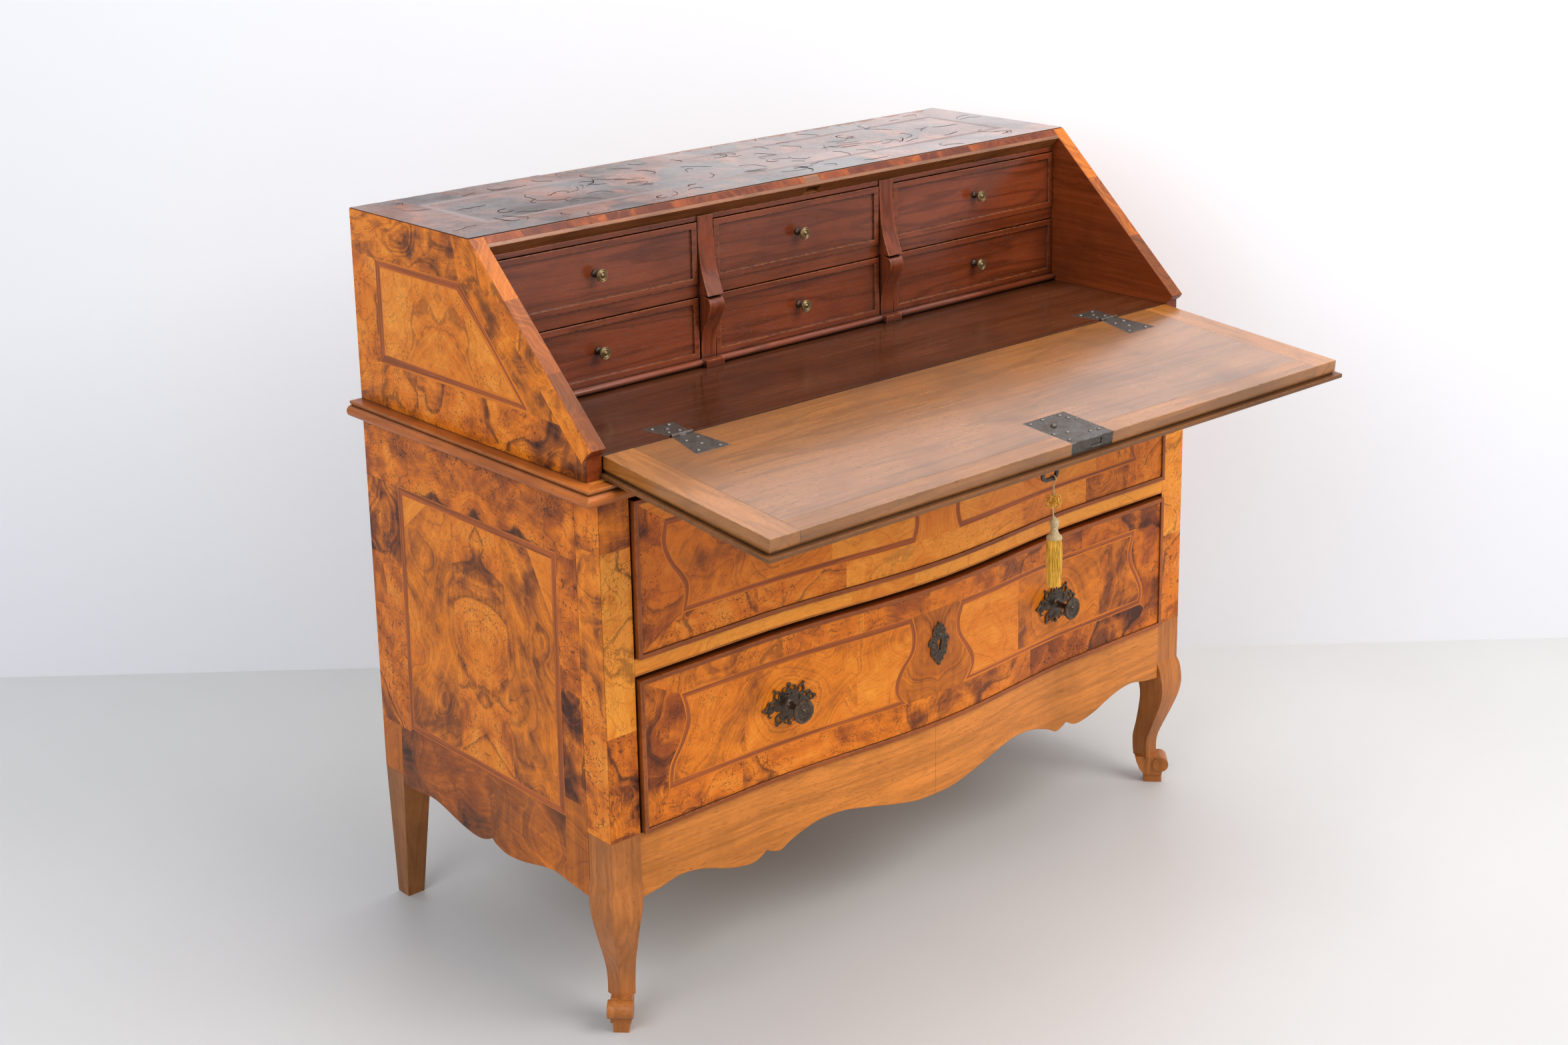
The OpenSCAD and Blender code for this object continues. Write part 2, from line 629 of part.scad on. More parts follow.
module silk_rosette() color("gold") at_tassel(24) difference() {
    union() {
        for (i = [0:5]) rotate([0, 0, 60 * i]) translate([5.8, 0, i % 2 * 5 - 2.5]) sphere(r = 5);
        sphere(r = 5.5);
    }
    translate([0, 0, -20]) cylinder(r = string_r - 0.1, h = 40);
}
module tassel_head() color("khaki") at_tassel(0) rotate_extrude()
    polygon(concat([[0, 0]], spline([[2, 0], [5.5, -2], [7, -6], [6, -10.5], [5, -13], [5, -18],
        [7, -23], [10.6, -26], [10.9, -30]]), [[0, -30]]));
module tassel_skirt() color("gold") at_tassel(-30 - 68) cylinder(r1 = 11.2, r2 = 10.3, h = 68);

// Long drawers
module pull_place(z) both() translate([pull_x, -case_d - bow_at(pull_x) - pull_y, z + pull_z])
    rotate([0, 0, bow_turn(pull_x)]) rotate([90, 0, 0]) children();
module at_key(z) translate([0, -case_d - bow - pull_y, z + pull_z + key_rise]) rotate([90, 0, 0])
    children();
module key_bore() {
    cylinder(r = 3.5, h = 80, center = true);
    translate([-1.8, -12, -40]) cube([3.6, 12, 80]);
}
module long_front(z) {
    z0 = z + drawer_lift;
    z1 = z + opening_h - drawer_top_gap;
    in_hw = front_hw - bead_w;
    difference() {
        union() {
            front_slab(front_hw, front_back, pull_y, z0, z1);
            difference() {
                front_slab(front_hw, case_d - eps, front_proud, z0, z1);
                block(-in_hw, in_hw, 0, case_d + bow + front_proud + eps, z0 + bead_w, z1 - bead_w);
            }
        }
        pull_place(z) translate([0, 0, -23]) cylinder(r = 4.1, h = 40);
        at_key(z) key_bore();
    }
}
module long_box(z) {
    z0 = z + drawer_lift;
    z1 = z + opening_h - drawer_top_gap - 10;
    both() block(box_hw - box_t, box_hw, box_back, front_back, z0, z1);
    block(-box_hw, box_hw, box_back, box_back + box_t, z0, z1);
    block(-box_hw + eps, box_hw - eps, box_back + eps, front_back, z0 + 5, z0 + 5 + box_bottom_t);
}
plate_w = 91;
module rosette() scale(plate_w / 91) difference() {
    union() {
        circle(r = 18);
        for (s = [-1, 1]) {
            translate([s * 22, 2]) circle(r = 11);
            translate([s * 36, 0]) circle(r = 9.5);
            translate([s * 18, 18]) circle(r = 8);
            translate([s * 18, -17]) circle(r = 8);
        }
        translate([0, 22]) circle(r = 8);
        translate([0, -21]) circle(r = 8);
    }
    for (s = [-1, 1]) {
        translate([s * 27, 4]) circle(r = 2.6);
        translate([s * 37, 0]) circle(r = 2.4);
        translate([s * 12, 18]) circle(r = 2.2);
        translate([s * 14, -17]) circle(r = 2.2);
    }
}
plate_off = 1.2;
module pulls(z) pull_place(z) {
    translate([0, 0, plate_off]) linear_extrude(2.5) difference() {
        rosette();
        circle(r = 6.2);
    }
    translate([0, 0, -22]) cylinder(r = 4, h = 30);
    translate([0, 0, plate_off]) cylinder(r1 = 6, r2 = 4.5, h = pull_l - 8);
    translate([0, 0, pull_l - 8]) rotate_extrude()
        polygon([[0, 0], [disc_w / 2 - 5, 0], [disc_w / 2, 2.5], [disc_w / 2, 4.5],
            [disc_w / 2 - 3, 5.5], [disc_w / 2 - 6, 5], [4, 6], [3, 8], [0, 8]]);
}
module escutcheon(z) at_key(z) translate([0, -3, 0.05]) linear_extrude(escutcheon_t)
    cartouche();
module lock(z) {
    z1 = z + opening_h - drawer_top_gap;
    zk = z + pull_z + key_rise;
    difference() {
        block(-30, 30, front_back - lock_deep, front_back, zk - 24, z1 - 1);
        block(-12.3, 12.3, mortise_d - 4.3, mortise_d + 4.3, z1 - 46, z1 + eps);
        at_key(z) key_bore();
    }
}
module bolt(z) {
    z1 = z + opening_h - drawer_top_gap;
    block(-12, 12, mortise_d - 4, mortise_d + 4, z1 - 34, z1 - 1.5);
}
module upper_drawer_front() color("chocolate") place() long_front(upper_z);
module upper_drawer_box() color("burlywood") place() long_box(upper_z);
module upper_drawer_pulls() color("dimgray") place() pulls(upper_z);
module upper_drawer_escutcheon() color("dimgray") place() escutcheon(upper_z);
module upper_drawer_lock() color("dimgray") place() lock(upper_z);
module upper_drawer_bolt() color("gray") place() bolt(upper_z);
module lower_drawer_front() color("chocolate") place() long_front(apron_top);
module lower_drawer_box() color("burlywood") place() long_box(apron_top);
module lower_drawer_pulls() color("dimgray") place() pulls(apron_top);
module lower_drawer_escutcheon() color("dimgray") place() escutcheon(apron_top);
module lower_drawer_lock() color("dimgray") place() lock(apron_top);
module lower_drawer_bolt() color("gray") place() bolt(apron_top);

// Small drawers
small_t = 7;
small_back = 30;
module small_drawer(c, z) {
    x0 = col_x[c] + small_gap;
    x1 = x0 + (c == 1 ? mid_w : col_w) - 2 * small_gap;
    z0 = z + fit;
    z1 = z + row_h - small_gap;
    front = nest_d - small_front_t;
    color("brown") place() {
        difference() {
            block(x0, x1, front, nest_d + 2, z0, z1);
            block(x0 + frame_w, x1 - frame_w, nest_d - 1, nest_d + 3, z0 + frame_w, z1 - frame_w);
            knob_at(c, z) translate([0, 0, -14]) cylinder(r = 3.1, h = 40);
        }
        for (x = [x0 + 1, x1 - 1 - small_t])
            block(x, x + small_t, small_back, front + eps, z0, z1 - 8);
        block(x0 + 1, x1 - 1, small_back, small_back + small_t, z0, z1 - 8);
        block(x0 + 1 + eps, x1 - 1 - eps, small_back + eps, front + eps, z0 + 3, z0 + 8);
    }
}
module knob_at(c, z)
    translate([col_x[c] + (c == 1 ? mid_w : col_w) / 2, -nest_d + 1, z + row_h / 2])
    rotate([90, 0, 0]) children();
module knob(c, z) color("goldenrod") place() knob_at(c, z) {
    r = knob_w / 2;
    translate([0, 0, -13]) cylinder(r = 3, h = 14);
    rotate_extrude() polygon([[0, 0.2], [r - 2, 0.2], [r - 2, 2], [3.5, 4], [3, 9], [r - 3, 12],
        [r, 15], [r, 18], [r - 2, 20], [0, 20]]);
}
module small_drawer_top_left() small_drawer(0, shelf_z + shelf_t);
module small_drawer_top_middle() small_drawer(1, shelf_z + shelf_t);
module small_drawer_top_right() small_drawer(2, shelf_z + shelf_t);
module small_drawer_low_left() small_drawer(0, nest_z0);
module small_drawer_low_middle() small_drawer(1, nest_z0);
module small_drawer_low_right() small_drawer(2, nest_z0);
module knob_top_left() knob(0, shelf_z + shelf_t);
module knob_top_middle() knob(1, shelf_z + shelf_t);
module knob_top_right() knob(2, shelf_z + shelf_t);
module knob_low_left() knob(0, nest_z0);
module knob_low_middle() knob(1, nest_z0);
module knob_low_right() knob(2, nest_z0);

left_front_leg();
right_front_leg();
left_back_leg();
right_back_leg();
front_posts();
lower_sides();
front_apron();
drawer_rails();
drawer_runners();
dust_boards();
lower_back();
front_moulding();
side_mouldings();
writing_board();
upper_sides();
top_board();
top_veneer();
upper_back();
nest_dividers();
nest_shelves();
nest_sill();
scroll_brackets();
desk_hinge_halves();
fall_panel();
fall_edging();
fall_face();
fall_lip();
fall_hinge_halves();
fall_lock();
fall_escutcheon();
fall_bolt();
key();
key_string();
silk_rosette();
tassel_head();
tassel_skirt();
upper_drawer_front();
upper_drawer_box();
upper_drawer_pulls();
upper_drawer_escutcheon();
upper_drawer_lock();
upper_drawer_bolt();
lower_drawer_front();
lower_drawer_box();
lower_drawer_pulls();
lower_drawer_escutcheon();
lower_drawer_lock();
lower_drawer_bolt();
small_drawer_top_left();
small_drawer_top_middle();
small_drawer_top_right();
small_drawer_low_left();
small_drawer_low_middle();
small_drawer_low_right();
knob_top_left();
knob_top_middle();
knob_top_right();
knob_low_left();
knob_low_middle();
knob_low_right();
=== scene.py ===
"""The slant-front desk's looks: veneers, cast fittings and silk, laid on the CAD frame.

Lengths in the making functions are millimetres, as a maker would measure them: x across the
front, d outwards from the back plane, z up from the floor. at() turns them into metres.
"""

import math
import random

import bmesh
import bpy
from mathutils import Matrix, Vector


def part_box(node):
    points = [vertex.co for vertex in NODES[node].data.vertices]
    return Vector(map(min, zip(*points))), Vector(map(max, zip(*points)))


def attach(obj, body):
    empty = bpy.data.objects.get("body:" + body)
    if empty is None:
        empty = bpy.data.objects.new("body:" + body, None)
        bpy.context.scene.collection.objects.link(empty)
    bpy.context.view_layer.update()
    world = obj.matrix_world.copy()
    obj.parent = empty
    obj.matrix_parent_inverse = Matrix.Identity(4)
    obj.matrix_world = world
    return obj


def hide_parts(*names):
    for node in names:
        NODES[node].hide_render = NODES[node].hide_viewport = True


bl_info = {
    "name": "Slant-Front Desk",
    "version": (1, 0, 0),
    "blender": (4, 5, 0),
    "location": "View3D > Sidebar > Desk",
    "description": "Dresses the slant-front desk: veneers, fittings, silk and studio",
    "category": "Object",
}

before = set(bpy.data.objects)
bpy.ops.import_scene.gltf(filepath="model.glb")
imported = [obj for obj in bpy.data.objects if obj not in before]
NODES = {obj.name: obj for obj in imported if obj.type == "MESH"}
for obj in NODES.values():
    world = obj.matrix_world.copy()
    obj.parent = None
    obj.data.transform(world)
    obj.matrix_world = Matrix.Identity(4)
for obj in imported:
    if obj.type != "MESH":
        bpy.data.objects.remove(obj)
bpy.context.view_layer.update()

BACK_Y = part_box("lower_sides")[1].y
HALF_W = 570.0  # from the middle to the outside of a side
LOWER_TOP = 745.4  # top of the lower case's veneer, under the waist moulding
POST_JOINTS = [284.3, 290, 430, 595, 680, LOWER_TOP]
POST_SIDE_JOINTS = [284.3, 292, 448, 595, 680, LOWER_TOP]
CLEAT_AT = 0.496  # metres from the middle to where the end cleats of the fall begin
FRONT_D = 550.0  # the posts' faces
BOW = 22.0  # how far the serpentine stands out in the middle
BOW_HALF = 330.0
FIELD_PROUD = 5.0  # the drawer fronts' faces before the posts
PULL_X = 268
KEY_RISE = 18  # a keyhole plate, above the pulls
HINGE_D, HINGE_Z = 527.0, 800.0
HINGE_X = 415
NEST_D = 292.3  # the small drawers' faces
SAG_COS, SAG_SIN = 0.995908, 0.090379  # the slope of the open fall
SLANT_COS, SLANT_SIN = math.cos(math.radians(43)), math.sin(math.radians(43))
SLANT_OFF = 19.7  # the slanted edge, out from the line through the hinge
FALL_T = 25.6
LEAF_T = 0.8  # thickness of a leaf
LIFT = 0.5  # how far its face stands off the wood
EDGE_LIFT = 0.15


def at(x, d, z):
    """A point of the desk, from millimetres to the frame's metres."""
    return Vector((x / 1000, BACK_Y - d / 1000, z / 1000))


def on_fall(x, u, t):
    """A point of the open fall: u out from the hinge line, t down from its writing face."""
    return at(x, HINGE_D + u * SAG_COS - t * SAG_SIN, HINGE_Z - u * SAG_SIN - t * SAG_COS)


def bow_at(x):
    """How far the serpentine front stands out at x."""
    return BOW * (1 + math.cos(math.pi * x / BOW_HALF)) / 2 if abs(x) < BOW_HALF else 0.0


def srgb(*parts):
    """A colour read as 0 to 255, as the shader wants it."""
    made = [part / 255 for part in parts]
    return (*(c / 12.92 if c <= 0.04045 else ((c + 0.055) / 1.055) ** 2.4 for c in made), 1.0)


# Settings


def colour(name, description, value):
    return bpy.props.FloatVectorProperty(
        name=name, description=description, subtype="COLOR", size=4, min=0, max=1, default=value
    )


class DESK_veneer_settings(bpy.types.PropertyGroup):
    """Sizes and colours of the veneers."""

    seam: bpy.props.FloatProperty(
        name="Seam", description="Gap between two leaves", default=0.0006, unit="LENGTH"
    )
    banding: bpy.props.FloatProperty(
        name="Banding", description="Width of the inlaid bands", default=0.0095, unit="LENGTH"
    )
    pale: colour("Pale", "Lightest wood of the burl", srgb(250, 164, 56))
    honey: colour("Honey", "Main colour of the burl", srgb(224, 124, 22))
    brown: colour("Brown", "Shaded wood of the burl", srgb(140, 72, 22))
    dark: colour("Dark", "Contour lines and eyes of the burl", srgb(58, 28, 11))
    band: colour("Band", "Wood of the bands", srgb(180, 92, 36))


class DESK_timber_settings(bpy.types.PropertyGroup):
    """Colours of the solid wood."""

    frame_wood: colour("Frame", "Legs, apron and rails", srgb(206, 124, 46))
    # The front legs' wood is the frame wood made darker: painted shade.
    leg: colour("Front legs", "Shaped front legs", srgb(176, 106, 48))
    moulding: colour("Moulding", "Waist moulding and drawer edges", srgb(168, 90, 28))
    nest: colour("Nest", "Small drawers, shelves and brackets", srgb(108, 44, 10))
    desk: colour("Writing board", "Board inside the desk", srgb(74, 34, 8))
    fall: colour("Fall", "Writing face of the fall", srgb(134, 83, 32))
    pine: colour("Pine", "Hidden boards", srgb(190, 152, 104))


class DESK_fitting_settings(bpy.types.PropertyGroup):
    """Sizes and colours of the metal and the silk."""

    iron: colour("Iron", "Hinges, locks and key", srgb(92, 84, 78))
    bronze: colour("Bronze", "Drawer pulls and keyhole plates", srgb(84, 70, 58))
    brass: colour("Brass", "Small knobs", srgb(142, 114, 78))
    silk: colour("Silk", "Skirt of the tassel", srgb(244, 184, 44))
    cream: colour("Cream", "String and wound head", srgb(206, 184, 136))
    string: bpy.props.FloatProperty(
        name="String", description="Diameter of the string", default=0.0022, unit="LENGTH"
    )
    strands: bpy.props.IntProperty(
        name="Strands", description="Strands around the skirt", default=54, min=20, max=90
    )


class DESK_stage_settings(bpy.types.PropertyGroup):
    """Camera, light and backdrop."""

    lens: bpy.props.FloatProperty(
        name="Lens", description="Focal length on a 36 mm sensor", default=52.298
    )
    floor: colour("Floor", "Plain floor", srgb(202, 203, 203))
    wall: colour("Wall", "Plain wall", srgb(232, 234, 239))


# Hand tools


def lay_down():
    """Leaves edit mode with nothing selected."""
    if bpy.context.object and bpy.context.object.mode != "OBJECT":
        bpy.ops.object.mode_set(mode="OBJECT")
    bpy.ops.object.select_all(action="DESELECT")


def take(piece):
    """Selects one piece and makes it active."""
    lay_down()
    piece.select_set(True)
    bpy.context.view_layer.objects.active = piece


def bench(piece, everything=True):
    """Puts a piece in edit mode."""
    take(piece)
    bpy.ops.object.mode_set(mode="EDIT")
    bpy.ops.mesh.select_all(action="SELECT" if everything else "DESELECT")


def choose_faces(piece, test):
    """In edit mode, selects the faces whose normal passes the test."""
    bpy.ops.mesh.select_mode(type="FACE")
    work = bmesh.from_edit_mesh(piece.data)
    for f in work.faces:
        f.select_set(test(f.normal))
    work.select_flush_mode()
    bmesh.update_edit_mesh(piece.data)


def press(piece, kind, **settings):
    """Adds a modifier and applies it."""
    take(piece)
    change = piece.modifiers.new(kind.title(), kind)
    for key, value in settings.items():
        setattr(change, key, value)
    bpy.ops.object.modifier_apply(modifier=change.name)


def join(pieces):
    """Joins pieces into the first one."""
    lay_down()
    for piece in pieces:
        piece.select_set(True)
    bpy.context.view_layer.objects.active = pieces[0]
    if len(pieces) > 1:
        bpy.ops.object.join()
    return pieces[0]


def copy_of(piece, place):
    """A copy with its own mesh, moved by place."""
    twin = shown(piece.name, piece.data.copy())
    twin.data.transform(place)
    return twin


def true_up(piece):
    """Closes doubles and turns every face outwards."""
    bench(piece)
    bpy.ops.mesh.remove_doubles(threshold=0.00001)
    bpy.ops.mesh.normals_make_consistent(inside=False)
    lay_down()


def finish(piece, name, body, finishes, nodes=(), angle=60.0):
    """Names a finished piece, sets its place into its mesh and hands it to its body."""
    set_in(piece)
    if angle:
        bpy.ops.object.shade_smooth_by_angle(angle=math.radians(angle))
    piece.name = piece.data.name = name
    if finishes:
        piece.data.materials.clear()
        for kind in finishes:
            piece.data.materials.append(FINISH[kind])
    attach(piece, body)
    if nodes:
        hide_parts(*nodes)


def spline(points, steps=5):
    """A smooth line through the points, with steps pieces between two of them."""
    made = []
    last = len(points) - 1
    for i in range(last):
        a, b = points[max(i - 1, 0)], points[i]
        c, d = points[i + 1], points[min(i + 2, last)]
        for k in range(steps):
            t = k / steps
            made.append(tuple(
                0.5 * (2 * q + (r - p) * t + (2 * p - 5 * q + 4 * r - s) * t * t
                       + (3 * q - p - 3 * r + s) * t ** 3)
                for p, q, r, s in zip(a, b, c, d)
            ))
    made.append(tuple(points[-1]))
    return made


def turned(profile, segments=32):
    """A turned piece about the z axis: a ring drawn up through (radius, height) in mm."""
    lay_down()
    radius, height = profile[0]
    bpy.ops.mesh.primitive_circle_add(
        vertices=segments, radius=radius / 1000, fill_type="NGON", location=(0, 0, height / 1000)
    )
    piece = bpy.context.object
    set_in(piece)
    bench(piece)
    for (r0, h0), (r1, h1) in zip(profile, profile[1:]):
        rise = (0, 0, (h1 - h0) / 1000)
        bpy.ops.mesh.extrude_region_move(TRANSFORM_OT_translate={"value": rise})
        k = r1 / r0
        bpy.ops.transform.resize(value=(k, k, 1), center_override=(0, 0, h1 / 1000))
    bpy.ops.mesh.select_all(action="SELECT")
    bpy.ops.mesh.normals_make_consistent(inside=False)
    lay_down()
    return piece


def shown(name, data):
    """Puts new data into the scene as an object."""
    piece = bpy.data.objects.new(name, data)
    bpy.context.scene.collection.objects.link(piece)
    return piece


def set_in(piece):
    """Sets a piece's place, turn and size into its mesh."""
    take(piece)
    bpy.ops.object.transform_apply(location=True, rotation=True, scale=True)


# Finishes


CORNER_SHADE_AND_GRIME = srgb(18, 9, 6)  # painted shade, with some grime, in the corners and gaps of the wood
HOLLOW_SHADE_AND_SOOT = srgb(14, 10, 8)  # painted shade, with some soot, in the hollows of the metal
HOLLOW = srgb(20, 11, 7)  # in the worm cracks and nicks of the veneer
AGED = srgb(44, 20, 14)  # the darkened varnish of the top
AMBER = srgb(214, 104, 18)  # the islands of the burl
RED_HEART = srgb(168, 56, 14)  # the reddest leaves
EDGE_ROUND = 0.0022
WOOD_CORNER, METAL_CORNER = 0.014, 0.004  # how far the painted shade, grime and soot reach out of a corner
WAVE = 22.0  # clouds a metre in the unevenness of old veneer


def toned(colour, by):
    """A colour made darker."""
    return (*(c * by for c in colour[:3]), 1.0)


class Mixture:
    """A shader tree being made: each step adds a node and hands back what comes out of it."""

    def __init__(self, tree):
        self.tree = tree

    def give(self, socket, value):
        """Links a socket, or sets it."""
        if isinstance(value, bpy.types.NodeSocket):
            self.tree.links.new(value, socket)
        else:
            socket.default_value = value

    def put(self, kind, inputs=None, **settings):
        """Adds a shader node, and sets or links its inputs by name or number."""
        node = self.tree.nodes.new("ShaderNode" + kind)
        for key, value in settings.items():
            setattr(node, key, value)
        for key, value in (inputs or {}).items():
            self.give(node.inputs[key], value)
        return node

    def sum(self, kind, a, b=0.0, c=0.0):
        return self.put("Math", {0: a, 1: b, 2: c}, operation=kind).outputs[0]

    def plus(self, a, b):
        return self.sum("ADD", a, b)

    def minus(self, a, b):
        return self.sum("SUBTRACT", a, b)

    def times(self, a, b):
        return self.sum("MULTIPLY", a, b)

    def times_plus(self, a, b, c):
        return self.sum("MULTIPLY_ADD", a, b, c)

    def bare(self, a):
        """A number without its sign."""
        return self.sum("ABSOLUTE", a)

    def arrow(self, kind, *arrows):
        """Vector sums."""
        return self.put("VectorMath", dict(enumerate(arrows)), operation=kind).outputs[0]

    def point(self, **parts):
        named = {key.upper(): value for key, value in parts.items()}
        return self.put("CombineXYZ", named).outputs[0]

    def split(self, vector):
        return self.put("SeparateXYZ", {0: vector}).outputs

    def step(self, value, low, high, first=0.0, last=1.0):
        """Runs smoothly from first at low to last at high."""
        return self.put(
            "MapRange", {0: value, 1: low, 2: high, 3: first, 4: last},
            interpolation_type="SMOOTHSTEP",
        ).outputs[0]

    def between(self, share, a, b):
        """A number between two others."""
        return self.put("Mix", {0: share, 2: a, 3: b}, data_type="FLOAT").outputs[0]

    def mix(self, share, a, b):
        """A colour between two others."""
        return self.put("Mix", {0: share, 6: a, 7: b}, data_type="RGBA").outputs[2]

    def stain(self, tint, mask, amount, colour):
        """Lets a colour into the tint where the mask says, up to an amount."""
        return self.mix(self.times(mask, amount), tint, colour)

    def clouds(self, vector, scale, detail=2.0, rough=0.5, twist=0.0):
        """Noise: its value, then its colour."""
        return self.put(
            "TexNoise", {"Vector": vector, "Scale": scale, "Detail": detail, "Roughness": rough,
                         "Distortion": twist},
        ).outputs

    def cloud(self, *settings):
        return self.clouds(*settings)[0]

    def drifted(self, vector, drift, reach):
        """A vector pushed about by the colour of clouds."""
        return self.arrow("MULTIPLY_ADD", drift, reach, vector)

    def stretch(self, vector, scale=(1, 1, 1), turn=(0, 0, 0)):
        return self.put(
            "Mapping", {"Vector": vector, "Scale": scale, "Rotation": turn}
        ).outputs[0]

    def use(self, name, *inputs):
        """Brings in a shared effect."""
        node = self.tree.nodes.new("ShaderNodeGroup")
        node.node_tree = bpy.data.node_groups[name]
        for socket, value in zip(node.inputs, inputs):
            self.give(socket, value)
        return node.outputs


class Effect(Mixture):
    """A shared effect: it is given a vector and numbers, and hands numbers and vectors back."""

    def __init__(self, name, numbers, outputs, vectors=""):
        super().__init__(bpy.data.node_groups.new(name, "ShaderNodeTree"))
        sockets = self.tree.interface
        sockets.new_socket(name="Vector", in_out="INPUT", socket_type="NodeSocketVector")
        for label, value in numbers.items():
            socket = sockets.new_socket(
                name=label, in_out="INPUT", socket_type="NodeSocketFloat"
            )
            socket.default_value = value
        for labels, kind in ((outputs, "Float"), (vectors, "Vector")):
            for label in labels.split():
                sockets.new_socket(name=label, in_out="OUTPUT", socket_type="NodeSocket" + kind)
        self.given = self.tree.nodes.new("NodeGroupInput").outputs
        self.wanted = self.tree.nodes.new("NodeGroupOutput").inputs

    def hand_back(self, **made):
        for label, value in made.items():
            self.tree.links.new(value, self.wanted[label])


class Finish(Mixture):
    """A material with only its surface shader, and the places of the desk to lay it by."""

    def __init__(self, name):
        self.material = bpy.data.materials.new(name)
        self.material.use_nodes = True
        super().__init__(self.material.node_tree)
        self.tree.nodes.clear()
        self.shader = self.put("BsdfPrincipled")
        self.out = self.put("OutputMaterial", {0: self.shader.outputs[0]})
        self.place = self.put("TexCoord").outputs["Object"]

    def surface(self, **settings):
        """Sets or links the shader's sockets, named with _ for a space."""
        for label, value in settings.items():
            self.give(self.shader.inputs[label.replace("_", " ")], value)

    def rough_by(self, smears, low, high):
        self.surface(Roughness=self.step(smears, 0.3, 0.7, low, high))

    def relief(self, height, depth, soft=None, strength=1.0):
        """Bump from a height of 0 to 1, depth metres deep."""
        inputs = {"Height": height, "Distance": depth, "Strength": strength}
        if soft is not None:
            inputs["Normal"] = soft
        self.surface(Normal=self.put("Bump", inputs).outputs[0])

    def corners_of(self, reach):
        """How open a place is: dark in the corners within reach."""
        return self.put("AmbientOcclusion", {"Distance": reach}, samples=4).outputs["AO"]

    def veneer_values(self, name):
        """Four values that each leaf brings: three as a colour, the last as its alpha."""
        found = self.put("Attribute", attribute_name=name, attribute_type="GEOMETRY").outputs
        three = self.put("SeparateColor", {0: found["Color"]}).outputs
        return three[0], three[1], three[2], found["Alpha"]


def grain_effect():
    """Straight grain along the vector's x: broad figure, fine streaks and open pores."""
    t = Effect("Straight grain", {}, "Figure Lines Streaks Pores")
    vector = t.given[0]
    drift = t.clouds(t.stretch(vector, (1.6, 5, 5)), 1.0, 2.0)[1]
    bent = t.drifted(vector, drift, (0.0, 0.022, 0.022))
    figure = t.cloud(t.stretch(bent, (1.3, 15, 15)), 1.0, 3.0)
    rings = t.sum("FRACT", t.times(figure, 9.0))
    fold = t.bare(t.minus(rings, 0.5))
    pores = t.cloud(t.stretch(bent, (70, 1500, 1500)), 1.0, 1.0)
    t.hand_back(
        Figure=t.step(figure, 0.3, 0.7), Lines=t.step(fold, 0.0, 0.24, 1.0, 0.0),
        Streaks=t.cloud(t.stretch(bent, (5, 190, 190)), 1.0, 3.0),
        Pores=t.step(pores, 0.60, 0.72),
    )


def burl_effect():
    """Burl figure: islands with dark outlines in flowing wood, threads, specks and worm cracks."""
    t = Effect(
        "Burl figure", {"Curl": 1.0, "Near": 0.0, "Knot": 0.0},
        "Island Outline Flow Threads Specks Worms Mottle Smoke Drift",
    )
    vector, curl, near, knot = (t.given[k] for k in range(4))
    bent = t.drifted(vector, t.clouds(vector, 9.0, 2.0)[1], (0.075, 0.075, 0.0))
    ragged = t.cloud(vector, 75.0, 3.0, 0.6)
    broad = t.cloud(bent, 6.5, 1.5, 0.4)
    field = t.between(near, broad, t.times_plus(broad, 0.35, knot))
    field = t.times_plus(ragged, 0.022, field)
    past = t.minus(field, t.step(curl, 0.0, 1.0, 0.60, 0.50))
    island = t.step(past, -0.004, 0.006)
    rim = t.step(t.bare(past), 0.003, 0.013, 1.0, 0.0)
    band = t.put(
        "TexNoise", {"W": t.times(field, 46.0), "Scale": 1.0, "Detail": 4.0, "Roughness": 0.62},
        noise_dimensions="1D",
    ).outputs[0]
    speck = t.put("TexVoronoi", {"Vector": bent, "Scale": 250.0}).outputs["Distance"]
    speck = t.step(speck, 0.14, 0.34, 1.0, 0.0)
    crowd = t.step(t.cloud(bent, 30.0, 3.0), 0.46, 0.56)
    shiver = t.drifted(vector, t.clouds(vector, 330.0, 1.0)[1], (0.0034, 0.0034, 0.0))
    worm = 0.0
    for scale, track, nest in ((74.0, 46.0, 9.0), (104.0, 60.0, 13.0)):
        crawl = t.cloud(shiver, scale, 0.6, 0.4, 0.5)
        line = t.step(t.bare(t.minus(crawl, 0.5)), 0.007, 0.019, 1.0, 0.0)
        line = t.times(line, t.step(t.cloud(vector, track, 0.0), 0.40, 0.44))
        line = t.times(line, t.step(t.cloud(vector, nest, 2.0), 0.46, 0.50))
        worm = t.sum("MAXIMUM", line, worm)
    t.hand_back(
        Island=t.times(island, curl), Outline=t.times(rim, t.step(ragged, 0.34, 0.5)),
        Flow=band, Threads=t.step(band, 0.34, 0.30), Specks=t.times(speck, crowd), Worms=worm,
        Mottle=t.cloud(bent, 34.0, 6.0, 0.65),
        Smoke=t.step(t.cloud(bent, 8.0, 4.0, 0.6), 0.47, 0.66), Drift=t.cloud(bent, 17.0, 2.0),
    )


